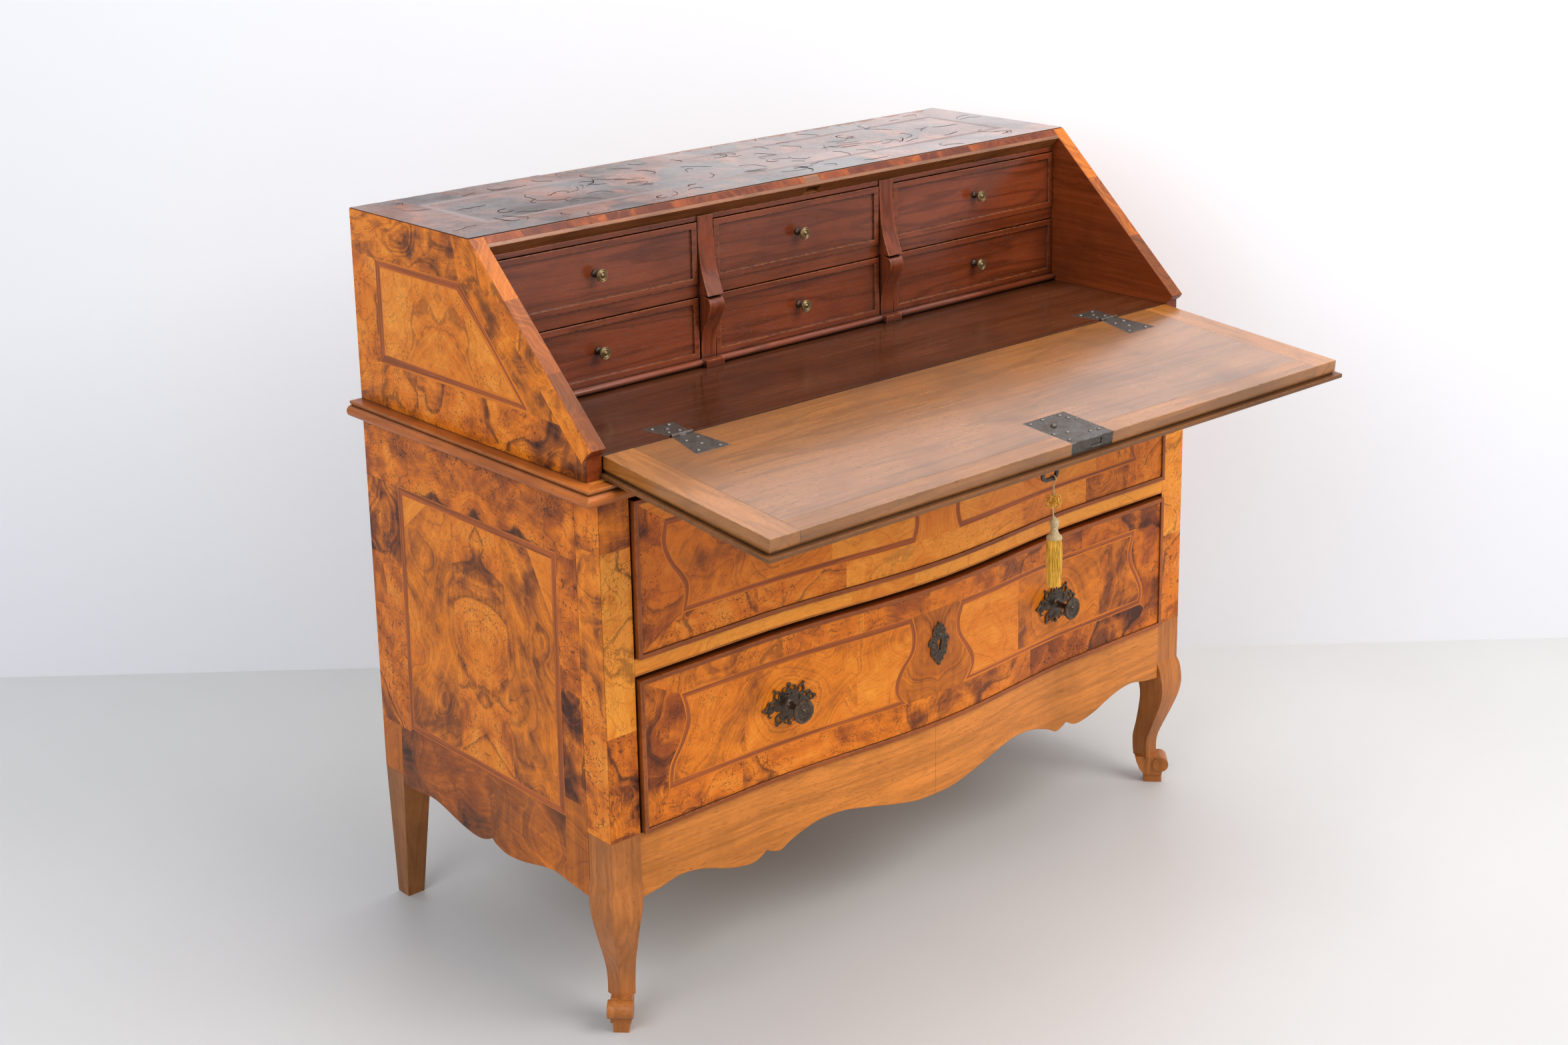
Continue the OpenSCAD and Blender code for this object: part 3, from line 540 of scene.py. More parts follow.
def wear_effect():
    """Rounded corners for the light, and masks of edges, nicks and smears; the edges take rubbed
    wear and a painted highlight.
    """
    t = Effect("Wear", {}, "Edge Nicks Smears", "Soft")
    vector = t.given[0]
    soft = t.put("Bevel", {"Radius": EDGE_ROUND}, samples=4).outputs[0]
    flat = t.put("NewGeometry").outputs["Normal"]
    turn = t.put("VectorMath", {0: soft, 1: flat}, operation="DOT_PRODUCT").outputs["Value"]
    ragged = t.cloud(vector, 130.0, 3.0)
    dots = t.put("TexVoronoi", {"Vector": vector, "Scale": 48.0}).outputs
    rare = t.step(t.put("SeparateColor", {0: dots["Color"]}).outputs[0], 0.86, 0.87)
    dot = t.step(dots["Distance"], 0.03, 0.075, 1.0, 0.0)
    t.hand_back(
        Edge=t.times(t.step(turn, 0.99, 0.86), t.step(ragged, 0.30, 0.62)),
        Nicks=t.times(dot, rare), Smears=t.cloud(vector, 6.0, 4.0, 0.6), Soft=soft,
    )


GRAIN_TURN = {"x": (0, 0, 0), "y": (0, 0, math.pi / 2), "z": (0, math.pi / 2, 0)}


def timber(name, grain, base, gloss=(0.28, 0.44), coat=0.0, lines=0.35, worn=0.5, streaky=0.5,
           shine=0.26, corner_shade_and_grime=0.0, rub_and_highlight=None, bold=0.35, depth=0.00022, cleat_at=None):
    """Solid wood with its grain along one axis of the desk; past cleat_at it turns along y."""
    t = Finish(name)
    run = t.stretch(t.place, turn=GRAIN_TURN[grain])
    if cleat_at:
        out = t.put("Math", {0: t.split(t.place)[0]}, operation="ABSOLUTE").outputs[0]
        beyond = t.step(out, cleat_at - 0.0001, cleat_at + 0.0001)
        crossing = t.stretch(t.place, turn=GRAIN_TURN["y"])
        run = t.put("Mix", {0: beyond, 4: run, 5: crossing}, data_type="VECTOR").outputs[1]
    figure = t.use("Straight grain", run)
    wear = t.use("Wear", t.place)
    deep, pore = toned(base, 0.42), toned(base, 0.22)
    light = (*(min(1.0, c * 1.55 + 0.012) for c in base[:3]), 1.0)
    tint = t.mix(figure["Figure"], t.mix(bold + 0.1, base, deep), t.mix(bold, base, light))
    tint = t.mix(t.step(figure["Streaks"], 0.25, 0.75, 0.0, streaky), tint, light)
    tint = t.stain(tint, figure["Lines"], lines, deep)
    tint = t.stain(tint, figure["Pores"], 0.55, pore)
    tint = t.mix(t.step(wear["Smears"], 0.40, 0.72, 0.0, 0.55), tint, deep)
    tint = t.stain(tint, wear["Nicks"], 0.85, pore)
    # Edges lighter: rubbed wear, and a painted highlight along them.
    tint = t.stain(tint, wear["Edge"], worn, rub_and_highlight or light)
    if cleat_at:
        tint = t.stain(tint, t.sum("COMPARE", out, cleat_at, 0.0005), 0.7, pore)
    # Painted shade: ambient occlusion darkens the wood in corners and between parts, with some
    # grime.
    if corner_shade_and_grime:
        tint = t.mix(t.step(t.corners_of(WOOD_CORNER), 0.35, 0.92, corner_shade_and_grime, 0.0), tint, CORNER_SHADE_AND_GRIME)
    t.rough_by(wear["Smears"], *gloss)
    height = t.minus(t.minus(figure["Streaks"], figure["Pores"]), wear["Nicks"])
    t.relief(height, depth, wear["Soft"], 0.7)
    t.surface(
        Base_Color=tint, Specular_IOR_Level=shine, Coat_Weight=coat, Coat_Roughness=0.16
    )
    return t.material


def burl(name, look, worms=0.66, smoke=0.46, gloss=(0.26, 0.42), dim=0.0, shine=0.24, dark=0.0,
         polish=0.0):
    """Burl veneer. Each leaf brings its own figure: its Grain map, leaf and knot values."""
    t = Finish(name)
    chart = t.put("UVMap", uv_map="Grain").outputs[0]
    tone, curl, seed, red = t.veneer_values("leaf")
    place = t.arrow("ADD", chart, t.point(x=t.times(seed, 37.0), y=t.times(seed, 53.0)))
    across, along, wide, high = t.veneer_values("knot")
    away = t.arrow("SUBTRACT", chart, t.point(x=across, y=along))
    away = t.arrow("MULTIPLY", away, t.point(x=wide, y=high, z=1.0))
    far = t.put("VectorMath", {0: away}, operation="LENGTH").outputs["Value"]
    near = t.times(t.step(far, 1.9, 1.1), t.step(wide, 0.5, 1.0))
    figure = t.use("Burl figure", place, curl, near, t.times_plus(far, -0.21, 0.535))
    grain = t.use("Straight grain", place)

    def about(value, reach):
        return t.times(t.minus(value, 0.5), reach)

    fierce = t.times(curl, curl)
    still = t.times_plus(figure["Island"], -0.5, 0.62)
    wild = t.plus(about(figure["Mottle"], 0.75), t.times(about(figure["Flow"], 1.0), still))
    calm = t.plus(about(grain["Figure"], 0.22), about(figure["Flow"], 0.35))
    level = t.plus(t.between(curl, calm, wild), about(grain["Streaks"], 0.26))
    level = t.plus(level, t.times(about(figure["Drift"], 1.1), fierce))
    level = t.plus(level, t.minus(tone, dim))
    level = t.times_plus(figure["Island"], 0.12, level)
    smoked = t.times(t.times(figure["Smoke"], curl), t.minus(1.4, tone))
    ramp = t.put("ValToRGB", {0: t.times_plus(smoked, -smoke, level)})
    stops = ramp.color_ramp.elements
    stops[0].color, stops[1].color = look.dark, look.pale
    stops.new(0.30).color = look.brown
    stops.new(0.62).color = look.honey
    wood = ramp.outputs[0]
    deep = tuple(look.dark)
    tint = t.stain(wood, figure["Island"], 0.45, t.mix(0.6, wood, AMBER))
    tint = t.stain(tint, red, 0.55, RED_HEART)
    tint = t.stain(tint, t.times(figure["Outline"], fierce), 0.8, deep)
    tint = t.stain(tint, t.times(figure["Threads"], curl), 0.26, deep)
    dots = t.times(figure["Specks"], figure["Island"])
    tint = t.stain(tint, dots, 0.85, deep)
    tint = t.stain(tint, grain["Pores"], 0.34, deep)
    gap = t.times(figure["Worms"], t.times(fierce, worms))
    tint = t.mix(gap, t.mix(dark, tint, AGED), HOLLOW)
    wear = t.use("Wear", t.place)
    tint = t.stain(tint, wear["Nicks"], 0.8, HOLLOW)
    t.rough_by(wear["Smears"], *gloss)
    wave = t.cloud(t.place, WAVE, 2.0)
    height = t.times_plus(wave, 1.6, t.times(grain["Streaks"], 0.22))
    height = t.minus(t.minus(height, t.times(gap, 0.6)), t.times(dots, 0.1))
    t.relief(height, 0.0007, None, 0.8)
    t.surface(Base_Color=tint, Specular_IOR_Level=shine, Coat_Roughness=0.14)
    if polish:
        t.surface(Coat_Weight=t.step(t.split(t.place)[0], -0.5, 0.35, 0.0, polish))
    return t.material


def banding(name, look, dark=0.0, coat=0.0, shine=0.24):
    """An inlaid band: red-brown wood along its length between two pale hairlines."""
    t = Finish(name)
    chart = t.put("UVMap", uv_map="Grain").outputs[0]
    _, wide, seed, _ = t.veneer_values("leaf")
    shift = t.point(x=t.times(seed, 41.0), z=seed)
    grain = t.use("Straight grain", t.arrow("ADD", chart, shift))
    across = t.bare(t.split(chart)[1])
    line = t.step(t.times_plus(wide, -0.01, across), -0.0012, -0.0008)
    band = tuple(look.band)
    tint = t.mix(t.step(grain["Streaks"], 0.3, 0.7), toned(band, 0.5), band)
    tint = t.stain(tint, grain["Pores"], 0.5, tuple(look.dark))
    tint = t.stain(tint, line, 0.85, tuple(look.honey))
    wear = t.use("Wear", t.place)
    tint = t.mix(t.step(wear["Smears"], 0.45, 0.7, 0.0, 0.5), tint, tuple(look.brown))
    t.rough_by(wear["Smears"], 0.22, 0.38)
    wave = t.cloud(t.place, WAVE, 2.0)
    t.relief(t.times_plus(grain["Streaks"], 0.25, wave), 0.0008, None, 0.8)
    t.surface(
        Base_Color=t.mix(dark, tint, AGED), Specular_IOR_Level=shine,
        Coat_Weight=coat, Coat_Roughness=0.14,
    )
    return t.material


def metal(name, base, rub_and_highlight, gloss=(0.3, 0.5), solid=0.9, rust=None):
    """Old metal: painted shade and soot in its hollows, rubbed bright on its edges as wear and a
    painted highlight, pitted.
    """
    t = Finish(name)
    wear = t.use("Wear", t.place)
    fine = t.cloud(t.place, 420.0, 4.0, 0.6)
    blot = t.cloud(t.place, 60.0, 3.0)
    tint = t.mix(t.step(fine, 0.35, 0.65), toned(base, 0.55), base)
    if rust:
        tint = t.mix(t.step(blot, 0.52, 0.68, 0.0, 0.7), tint, rust)
    # Edges lighter: rubbed wear, and a painted highlight along them.
    tint = t.stain(tint, wear["Edge"], 0.75, rub_and_highlight)
    # Painted shade: ambient occlusion darkens the hollows, with some soot.
    tint = t.mix(t.step(t.corners_of(METAL_CORNER), 0.25, 0.85, 0.85, 0.0), tint, HOLLOW_SHADE_AND_SOOT)
    t.rough_by(blot, *gloss)
    t.relief(t.plus(fine, blot), 0.0003, wear["Soft"], 0.5)
    t.surface(Base_Color=tint, Metallic=solid)
    return t.material


def silk(name, base, light, scale):
    """Twisted silk: fine slanting threads with a soft sheen."""
    t = Finish(name)
    thread = t.cloud(t.stretch(t.place, scale), 1.0, 2.0)
    blot = t.cloud(t.place, 90.0, 2.0)
    deep = toned(base, 0.5)
    tint = t.mix(t.step(thread, 0.35, 0.55), deep, base)
    tint = t.mix(t.step(thread, 0.55, 0.75), tint, light)
    tint = t.mix(t.step(blot, 0.5, 0.8, 0.0, 0.3), tint, deep)
    t.rough_by(blot, 0.45, 0.65)
    t.relief(thread, 0.0004)
    t.surface(Base_Color=tint, Sheen_Weight=0.5, Sheen_Roughness=0.4)
    return t.material


FINISH = {}  # each finish by its name, once it is mixed
# The small drawers, and where their knobs stand: x, z.
NEST = {
    f"{row}_{column}": (x, z)
    for column, x in (("left", -368.5), ("middle", 0), ("right", 368.5))
    for row, z in (("low", 856.25), ("top", 964.75))
}
# The CAD nodes that each finish goes on; a letter after _ is the way the grain runs.
GIVEN = {
    "leg_z": "left_front_leg right_front_leg",
    "stile_z": "left_back_leg right_back_leg",
    "frame_x": "front_apron drawer_rails",
    "edge_z": "front_posts",
    "edge_x": "front_moulding",
    "bead_x": "upper_drawer_front lower_drawer_front",
    "lip_x": "fall_lip",
    "edge_y": "side_mouldings",
    "inside_z": "lower_sides",
    "inside_y": "upper_sides",
    "top_x": "top_board top_veneer",
    "desk_x": "writing_board",
    "fall_x": "fall_panel",
    "cleat": "fall_edging",
    "nest_x": "nest_shelves nest_sill " + " ".join("small_drawer_" + cell for cell in NEST),
    "nest_z": "nest_dividers scroll_brackets fall_face",
    "pine_x": "lower_back upper_back dust_boards upper_drawer_box lower_drawer_box",
    "pine_y": "drawer_runners",
    "lock_iron": "fall_lock fall_bolt",
    "iron": "desk_hinge_halves fall_hinge_halves key "
    "upper_drawer_lock upper_drawer_bolt lower_drawer_lock lower_drawer_bolt",
    "bronze": "fall_escutcheon upper_drawer_pulls upper_drawer_escutcheon "
    "lower_drawer_pulls lower_drawer_escutcheon",
    "brass": " ".join("knob_" + cell for cell in NEST),
    "cream": "key_string tassel_head",
    "silk": "silk_rosette tassel_skirt",
}


class DESK_OT_finishes(bpy.types.Operator):
    """Mixes the finishes and gives every CAD node its own"""

    bl_idname = "desk.finishes"
    bl_label = "Finishes"

    def execute(self, context):
        scene = context.scene
        woods, veneer, fittings = scene.desk_timber, scene.desk_veneer, scene.desk_fittings
        grain_effect()
        burl_effect()
        wear_effect()
        shades = {
            "frame": (woods.frame_wood, dict(lines=0.25, streaky=0.45)),
            # The legs' woods are darker than the frame wood: painted shade, the back legs darkest.
            "leg": (woods.leg, dict(lines=0.3, streaky=0.4)),
            "stile": (srgb(150, 94, 46), dict(lines=0.3, streaky=0.3)),
            "edge": (woods.moulding, dict(
                lines=0.3, worn=0.9, shine=0.3, corner_shade_and_grime=0.85, rub_and_highlight=srgb(206, 136, 66))),
            "bead": (srgb(150, 76, 26), dict(
                lines=0.2, streaky=0.4, worn=0.8, corner_shade_and_grime=0.8, rub_and_highlight=srgb(206, 132, 70))),
            # The lip under the fall is darker than the other mouldings: painted shade where the
            # fall overhangs it.
            "lip": (srgb(120, 74, 36), dict(
                lines=0.3, streaky=0.4, worn=0.8, corner_shade_and_grime=0.9, rub_and_highlight=srgb(160, 108, 62))),
            "nest": (woods.nest, dict(
                gloss=(0.16, 0.32), coat=0.55, shine=0.4, lines=0.55, streaky=0.6, worn=0.8,
                corner_shade_and_grime=0.95, rub_and_highlight=srgb(204, 118, 58), bold=0.5)),
            "desk": (woods.desk, dict(
                gloss=(0.1, 0.24), coat=0.1, shine=0.3, bold=0.5, corner_shade_and_grime=0.6)),
            "fall": (woods.fall, dict(
                gloss=(0.24, 0.34), coat=0.85, shine=0.4, streaky=0.4, depth=0.00006, bold=0.3)),
            "inside": (srgb(118, 50, 12), dict(gloss=(0.25, 0.4))),
            "top": (srgb(118, 68, 30), dict(
                gloss=(0.24, 0.38), coat=0.25, shine=0.4, lines=0.5, streaky=0.6,
                rub_and_highlight=srgb(176, 116, 62), worn=0.8)),
            "pine": (woods.pine, dict(gloss=(0.55, 0.75), worn=0.2)),
        }
        for name in GIVEN:
            kind, _, grain = name.partition("_")
            if kind in shades and grain:
                base, settings = shades[kind]
                FINISH[name] = timber(name, grain, tuple(base), **settings)
        FINISH["cleat"] = timber(
            "cleat", "x", srgb(152, 94, 34), gloss=(0.24, 0.36), coat=0.6, shine=0.45,
            streaky=0.4, rub_and_highlight=srgb(200, 144, 84), worn=0.8, depth=0.0001, cleat_at=CLEAT_AT,
        )
        FINISH["crack"] = timber("crack", "x", srgb(22, 13, 10), (0.8, 0.95), worn=0, shine=0.1)
        FINISH["burl"] = burl("burl", veneer)
        FINISH["top_burl"] = burl(
            "top_burl", veneer, worms=1.0, smoke=0.7, gloss=(0.12, 0.42), dim=0.16, shine=0.45,
            dark=0.62, polish=1.0,
        )
        FINISH["banding"] = banding("banding", veneer)
        FINISH["top_banding"] = banding("top_banding", veneer, dark=0.78, coat=0.4, shine=0.5)
        for name, base, rub_and_highlight, gloss, solid, rust in (
            ("iron", fittings.iron, (150, 144, 136), (0.3, 0.52), 0.7, (70, 52, 40)),
            ("lock_iron", srgb(98, 92, 86), (176, 172, 166), (0.2, 0.4), 0.8, (84, 66, 52)),
            ("nail_iron", srgb(126, 120, 114), (206, 202, 196), (0.2, 0.4), 0.8, (84, 72, 62)),
            ("bronze", fittings.bronze, (150, 130, 110), (0.24, 0.42), 0.7, None),
            ("brass", fittings.brass, (206, 186, 140), (0.26, 0.44), 0.9, None),
        ):
            FINISH[name] = metal(
                name, tuple(base), srgb(*rub_and_highlight), gloss, solid, srgb(*rust) if rust else None
            )
        FINISH["silk"] = silk("silk", tuple(fittings.silk), srgb(250, 214, 92), (900, 900, 60))
        FINISH["cream"] = silk(
            "cream", tuple(fittings.cream), srgb(232, 214, 170), (700, 700, 1800)
        )
        for name, nodes in GIVEN.items():
            for node in nodes.split():
                mesh = NODES[node].data
                mesh.materials.clear()
                mesh.materials.append(FINISH[name])
        return {"FINISHED"}


# Stage

# The camera as fitted to the photograph: place in metres, turns, then pixels.
EYE = Vector((-2.157810, -2.282114, 1.665520))
YAW = math.radians(39.78365)
PITCH = math.radians(-14.62859)
ROLL = math.radians(-1.47119)
PHOTO_W = 2352
PHOTO_H = 1568
PRINCIPAL = (1083.424, 494.190)
WALL_AWAY = 3.95  # metres over the floor from the camera to the wall
LAMPS = (  # name, place, aim, size, power, colour
    ("key_light", (1.1, -3.6, 3.7), (0.0, 0.0, 0.6), 3.0, 176.0, (255, 250, 244)),
    ("side_light", (-3.6, -1.0, 2.6), (0.0, 0.0, 0.5), 2.4, 76.0, (250, 250, 255)),
    ("wall_wash", (0.4, -0.2, 3.4), (1.2, 1.1, 1.2), 2.0, 52.0, (255, 253, 250)),
)


def backdrop(name, colour_of_it, cloud_size, detail, shaded, rough, **where):
    """A plain faintly clouded sheet of the studio, and its finish."""
    lay_down()
    bpy.ops.mesh.primitive_grid_add(x_subdivisions=4, y_subdivisions=4, **where)
    sheet = bpy.context.object
    sheet.name = "studio_" + name
    t = Finish("plain_" + name)
    tint = tuple(colour_of_it)
    soft = t.cloud(t.place, cloud_size, detail)
    t.surface(Base_Color=t.mix(soft, toned(tint, shaded), tint), Roughness=rough)
    sheet.data.materials.append(t.material)
    return t


class DESK_OT_stage(bpy.types.Operator):
    """Sets the camera at the photograph's viewing angle, with soft light, a floor and a wall"""

    bl_idname = "desk.stage"
    bl_label = "Stage"

    def execute(self, context):
        look = context.scene.desk_stage
        lay_down()
        bpy.ops.object.camera_add(location=EYE)
        camera = context.object
        ahead = Vector(
            (math.sin(YAW) * math.cos(PITCH), math.cos(YAW) * math.cos(PITCH), math.sin(PITCH))
        )
        right = Vector((math.cos(YAW), -math.sin(YAW), 0))
        up = right.cross(ahead)
        level_right = right * math.cos(ROLL) + up * math.sin(ROLL)
        level_up = up * math.cos(ROLL) - right * math.sin(ROLL)
        turn = Matrix((level_right, level_up, -ahead)).transposed()
        camera.matrix_world = Matrix.Translation(EYE) @ turn.to_4x4()
        camera.data.sensor_width = 36
        camera.data.lens = look.lens
        camera.data.shift_x = (PHOTO_W / 2 - PRINCIPAL[0]) / PHOTO_W
        camera.data.shift_y = (PRINCIPAL[1] - PHOTO_H / 2) / PHOTO_W
        camera.data.clip_start = 0.05
        context.scene.camera = camera
        context.scene.view_settings.view_transform = "Standard"

        backdrop("floor", look.floor, 2.0, 4.0, 0.9, 0.45, size=24)
        foot = Vector((EYE.x, EYE.y, 0)) + Vector((math.sin(YAW), math.cos(YAW), 0)) * WALL_AWAY
        wall = backdrop(
            "wall", look.wall, 0.6, 2.0, 0.97, 0.85, size=16,
            location=foot + Vector((0, 0, 7.99)), rotation=(math.pi / 2, 0, -YAW),
        )
        clear = wall.put("BsdfTransparent").outputs[0]
        back = wall.put("NewGeometry").outputs["Backfacing"]
        seen = wall.put("MixShader", {0: back, 1: wall.shader.outputs[0], 2: clear})
        wall.give(wall.out.inputs[0], seen.outputs[0])

        world = bpy.data.worlds.new("studio_air")
        world.use_nodes = True
        air = world.node_tree.nodes["Background"]
        air.inputs[0].default_value = srgb(240, 243, 248)
        air.inputs[1].default_value = 0.48
        context.scene.world = world
        for name, place, aim, size, power, shade in LAMPS:
            bpy.ops.object.light_add(type="AREA", location=place)
            lamp = context.object
            lamp.name = name
            lamp.data.size = size
            lamp.data.energy = power
            lamp.data.color = srgb(*shade)[:3]
            to = Vector(aim) - Vector(place)
            lamp.rotation_euler = to.to_track_quat("-Z", "Y").to_euler()
        return {"FINISHED"}


# Silk

BAR_D = 780.27  # the flat bar of the key's bow, which the string is looped over
BAR_Z = 701.36
STRING_X = 11.6
HEAD_Z = BAR_Z - 56
HEAD_X = STRING_X + 2.6
LOOP_R = 4.4
WINDING = 2.3  # from one winding of the head to the next
# Down the side of the head: height, radius.
HEAD_EDGE = [(-2, 5.5), (-6, 7), (-8, 6.6), (-10.5, 5.6), (-13, 4.9), (-18, 5.0), (-23, 6.8),
             (-26, 10.2), (-28, 10.9), (-30, 10.6)]


def string_path():
    """The string's centreline: a turn round the key's bow, then down through the head."""
    path = []
    for turn in range(-60, 241, 15):
        a = math.radians(turn)
        x = 9 + (turn + 60) / 300 * 2.6
        path.append(at(x, BAR_D - LOOP_R * math.cos(a), BAR_Z + LOOP_R * math.sin(a)))
    for drop in (6, 9, 14, 20, 28, 36, 44, 52, 60, 72, 84, 98, 110):
        off = {6: 1.6, 9: 0.5}.get(drop, 0.0)
        path.append(at(STRING_X, BAR_D + off, BAR_Z - drop))
    return path


def twisted(path, radius, pitch=0.0055, sides=10):
    """A cord of two twisted plies along a path, as one closed mesh."""
    points = [Vector(p) for p in spline([tuple(p) for p in path], 4)]
    work = bmesh.new()
    rows = []
    run = 0.0
    side = Vector((0, 1, 0))
    for i, p in enumerate(points):
        if i:
            run += (p - points[i - 1]).length
        ahead = (points[min(i + 1, len(points) - 1)] - points[max(i - 1, 0)]).normalized()
        side = (side - ahead * side.dot(ahead)).normalized()
        other = ahead.cross(side)
        row = []
        for k in range(sides):
            a = 2 * math.pi * k / sides
            lobe = 0.80 + 0.20 * abs(math.cos(a - 2 * math.pi * run / pitch))
            out = side * math.cos(a) + other * math.sin(a)
            row.append(work.verts.new(p + radius * lobe * out))
        rows.append(row)
    for lower, upper in zip(rows, rows[1:]):
        for k in range(sides):
            n = (k + 1) % sides
            work.faces.new((lower[k], lower[n], upper[n], upper[k]))
    work.faces.new(list(reversed(rows[0])))
    work.faces.new(rows[-1])
    mesh = bpy.data.meshes.new("cord")
    work.to_mesh(mesh)
    work.free()
    piece = shown("cord", mesh)
    true_up(piece)
    return piece


def wound_head(head):
    """The tassel's head, wound round with cord."""
    profile = [(1.6, 1.0), (2.4, -0.6), (5.2, -2.2)]
    height = -2.4
    while height > -30:
        for (h0, r0), (h1, r1) in zip(HEAD_EDGE, HEAD_EDGE[1:]):
            if h1 <= height <= h0:
                radius = r0 + (r1 - r0) * (height - h0) / (h1 - h0)
        groove = 0.3 if -21 < height < -10 else 0.75
        wound = groove * (1 - abs(math.sin(math.pi * height / WINDING)))
        profile.append((radius - wound, height))
        height -= 0.46
    profile.append((4.0, -30.4))
    crown = turned(profile, 28)
    crown.location = head
    return crown


def silk_skirt(head, strands, shaker):
    """The tassel's strands, in three rings."""
    made = []
    for radius, count in ((10.0, strands), (7.4, strands * 2 // 3), (4.4, strands // 3)):
        for k in range(count):
            a = 2 * math.pi * (k + shaker.uniform(-0.2, 0.2)) / count
            out = radius + shaker.uniform(-0.5, 0.5)
            lean = shaker.uniform(-0.05, 0.05)
            end = shaker.uniform(-1.6, 1.4)
            line = []
            for s in range(7):
                t = s / 6
                spread = out * (0.93 + 0.13 * math.sin(math.pi * min(1, t * 1.25)))
                line.append(head + Vector((
                    spread * math.cos(a + lean * t) / 1000,
                    spread * math.sin(a + lean * t) / 1000,
                    (-29.0 - (67.0 + end) * t) / 1000,
                )))
            made.append(twisted(line, 0.00062, pitch=0.0034, sides=6))
    return join(made)


def looped_rosette(middle, shaker):
    """The knot of loops above the head, in three layers."""
    loops = []
    for k in range(15):
        turn = 2 * math.pi * k / 15
        size = shaker.uniform(4.2, 5.4)
        tilt = shaker.uniform(-0.5, 0.5)
        lift = (k % 3 - 1) * 4.2
        ring = []
        for s in range(15):
            b = 2 * math.pi * s / 14
            r = 5.4 + size * 0.95 * math.cos(b)
            z = lift + size * 0.75 * math.sin(b)
            bend = turn + tilt * 0.35 * math.sin(b)
            ring.append(middle + Vector((r * math.cos(bend), r * math.sin(bend), z)) / 1000)
        loops.append(twisted(ring, 0.00105, pitch=0.004, sides=6))
    return join(loops)


class DESK_OT_tassel(bpy.types.Operator):
    """Hangs the string, rosette and silk tassel on the key"""

    bl_idname = "desk.tassel"
    bl_label = "Tassel"

    def execute(self, context):
        fittings = context.scene.desk_fittings
        path = string_path()
        cord = twisted(path, fittings.string / 2)
        finish(cord, "tassel_cord", "tassel", ["cream"], ["key_string"])
        head = at(HEAD_X, BAR_D, HEAD_Z)
        crown = wound_head(head)
        finish(crown, "wound_head", "tassel", ["cream"], ["tassel_head"])
        shaker = random.Random(7)
        skirt = silk_skirt(head, fittings.strands, shaker)
        finish(skirt, "silk_skirt", "tassel", ["silk"], ["tassel_skirt"])
        rosette = looped_rosette(at(STRING_X, BAR_D, HEAD_Z + 24), shaker)
        finish(rosette, "looped_rosette", "tassel", ["silk"], ["silk_rosette"])
        return {"FINISHED"}


# Veneers

STRIP_W = 14  # how finely leaves are cut where they bend round the serpentine
RAIL_LOW, RAIL_HIGH = 506.3, 526.9
POST_IN, POST_OUT = 522.3, 569.7
SIDE_BACK, SIDE_FRONT = 0.5, 499.7
TOP_FRONT = 291.9
TOP_LEAF_Z = 1045.75
CRACK_Z = 1045.98


def leaf(outline, tone=0.6, curl=1.0, angle=0.0, seed=0.1, flip=False, red=0.0, knot=None,
         centre=None):
    """One leaf of veneer: its outline in mm on the face, and how its figure is laid."""
    middle = centre or tuple(sum(axis) / len(axis) for axis in zip(*outline))
    c, s = math.cos(math.radians(angle)), math.sin(math.radians(angle))

    def chart(p):
        u, v = p[0] - middle[0], p[1] - middle[1]
        if flip:
            u = -u
        return ((u * c + v * s) / 1000, (v * c - u * s) / 1000)

    return {
        "points": outline, "faces": [tuple(range(len(outline)))],
        "chart": [chart(p) for p in outline], "look": (tone, curl, seed, red), "band": False,
        "knot": (*chart(knot[:2]), 1000 / knot[2], 1000 / knot[3]) if knot else (0, 0, 0, 0),
    }


def strip(one, other, seed=0.1):
    """One piece of banding between two lines of as many points."""
    run, chart = 0.0, []
    wide = min(math.dist(a, b) for a, b in zip(one, other)) / 20
    middle = [((a[0] + b[0]) / 2, (a[1] + b[1]) / 2) for a, b in zip(one, other)]
    for i, (a, b) in enumerate(zip(one, other)):
        if i:
            run += math.dist(middle[i], middle[i - 1])
        half = math.dist(a, b) / 2000
        chart += [(run / 1000, half), (run / 1000, -half)]
    return {
        "points": [p for pair in zip(one, other) for p in pair],
        "faces": [(2 * i, 2 * i + 1, 2 * i + 3, 2 * i + 2) for i in range(len(one) - 1)],
        "chart": chart, "look": (0.5, wide, seed, 0), "knot": (0, 0, 0, 0), "band": True,
    }


def oblong(x0, y0, x1, y1):
    return [(x0, y0), (x1, y0), (x1, y1), (x0, y1)]


def spans(joints, *others):
    """Each span between two joints, numbered, with what belongs to it."""
    return [(k, *span) for k, span in enumerate(zip(joints, joints[1:], *others))]


def area_of(points):
    return sum(
        a[0] * b[1] - b[0] * a[1] for a, b in zip(points, points[1:] + points[:1])
    ) / 2


def cut(outline, x, heading):
    """The part of an outline left of an upright line at x that heads up (1) or down (-1)."""
    kept = []
    for a, b in zip(outline, outline[1:] + outline[:1]):
        sa, sb = -heading * (a[0] - x), -heading * (b[0] - x)
        if sa >= 0:
            kept.append(a)
        if sa * sb < 0:
            t = sa / (sa - sb)
            kept.append((a[0] + (b[0] - a[0]) * t, a[1] + (b[1] - a[1]) * t))
    return kept


def parts_at(outline, joints):
    """An outline cut across at each x of joints, from left to right."""
    made = []
    rest_of_it = outline
    for x in joints:
        made.append(cut(rest_of_it, x, 1))
        rest_of_it = cut(rest_of_it, x, -1)
    return made + [rest_of_it]


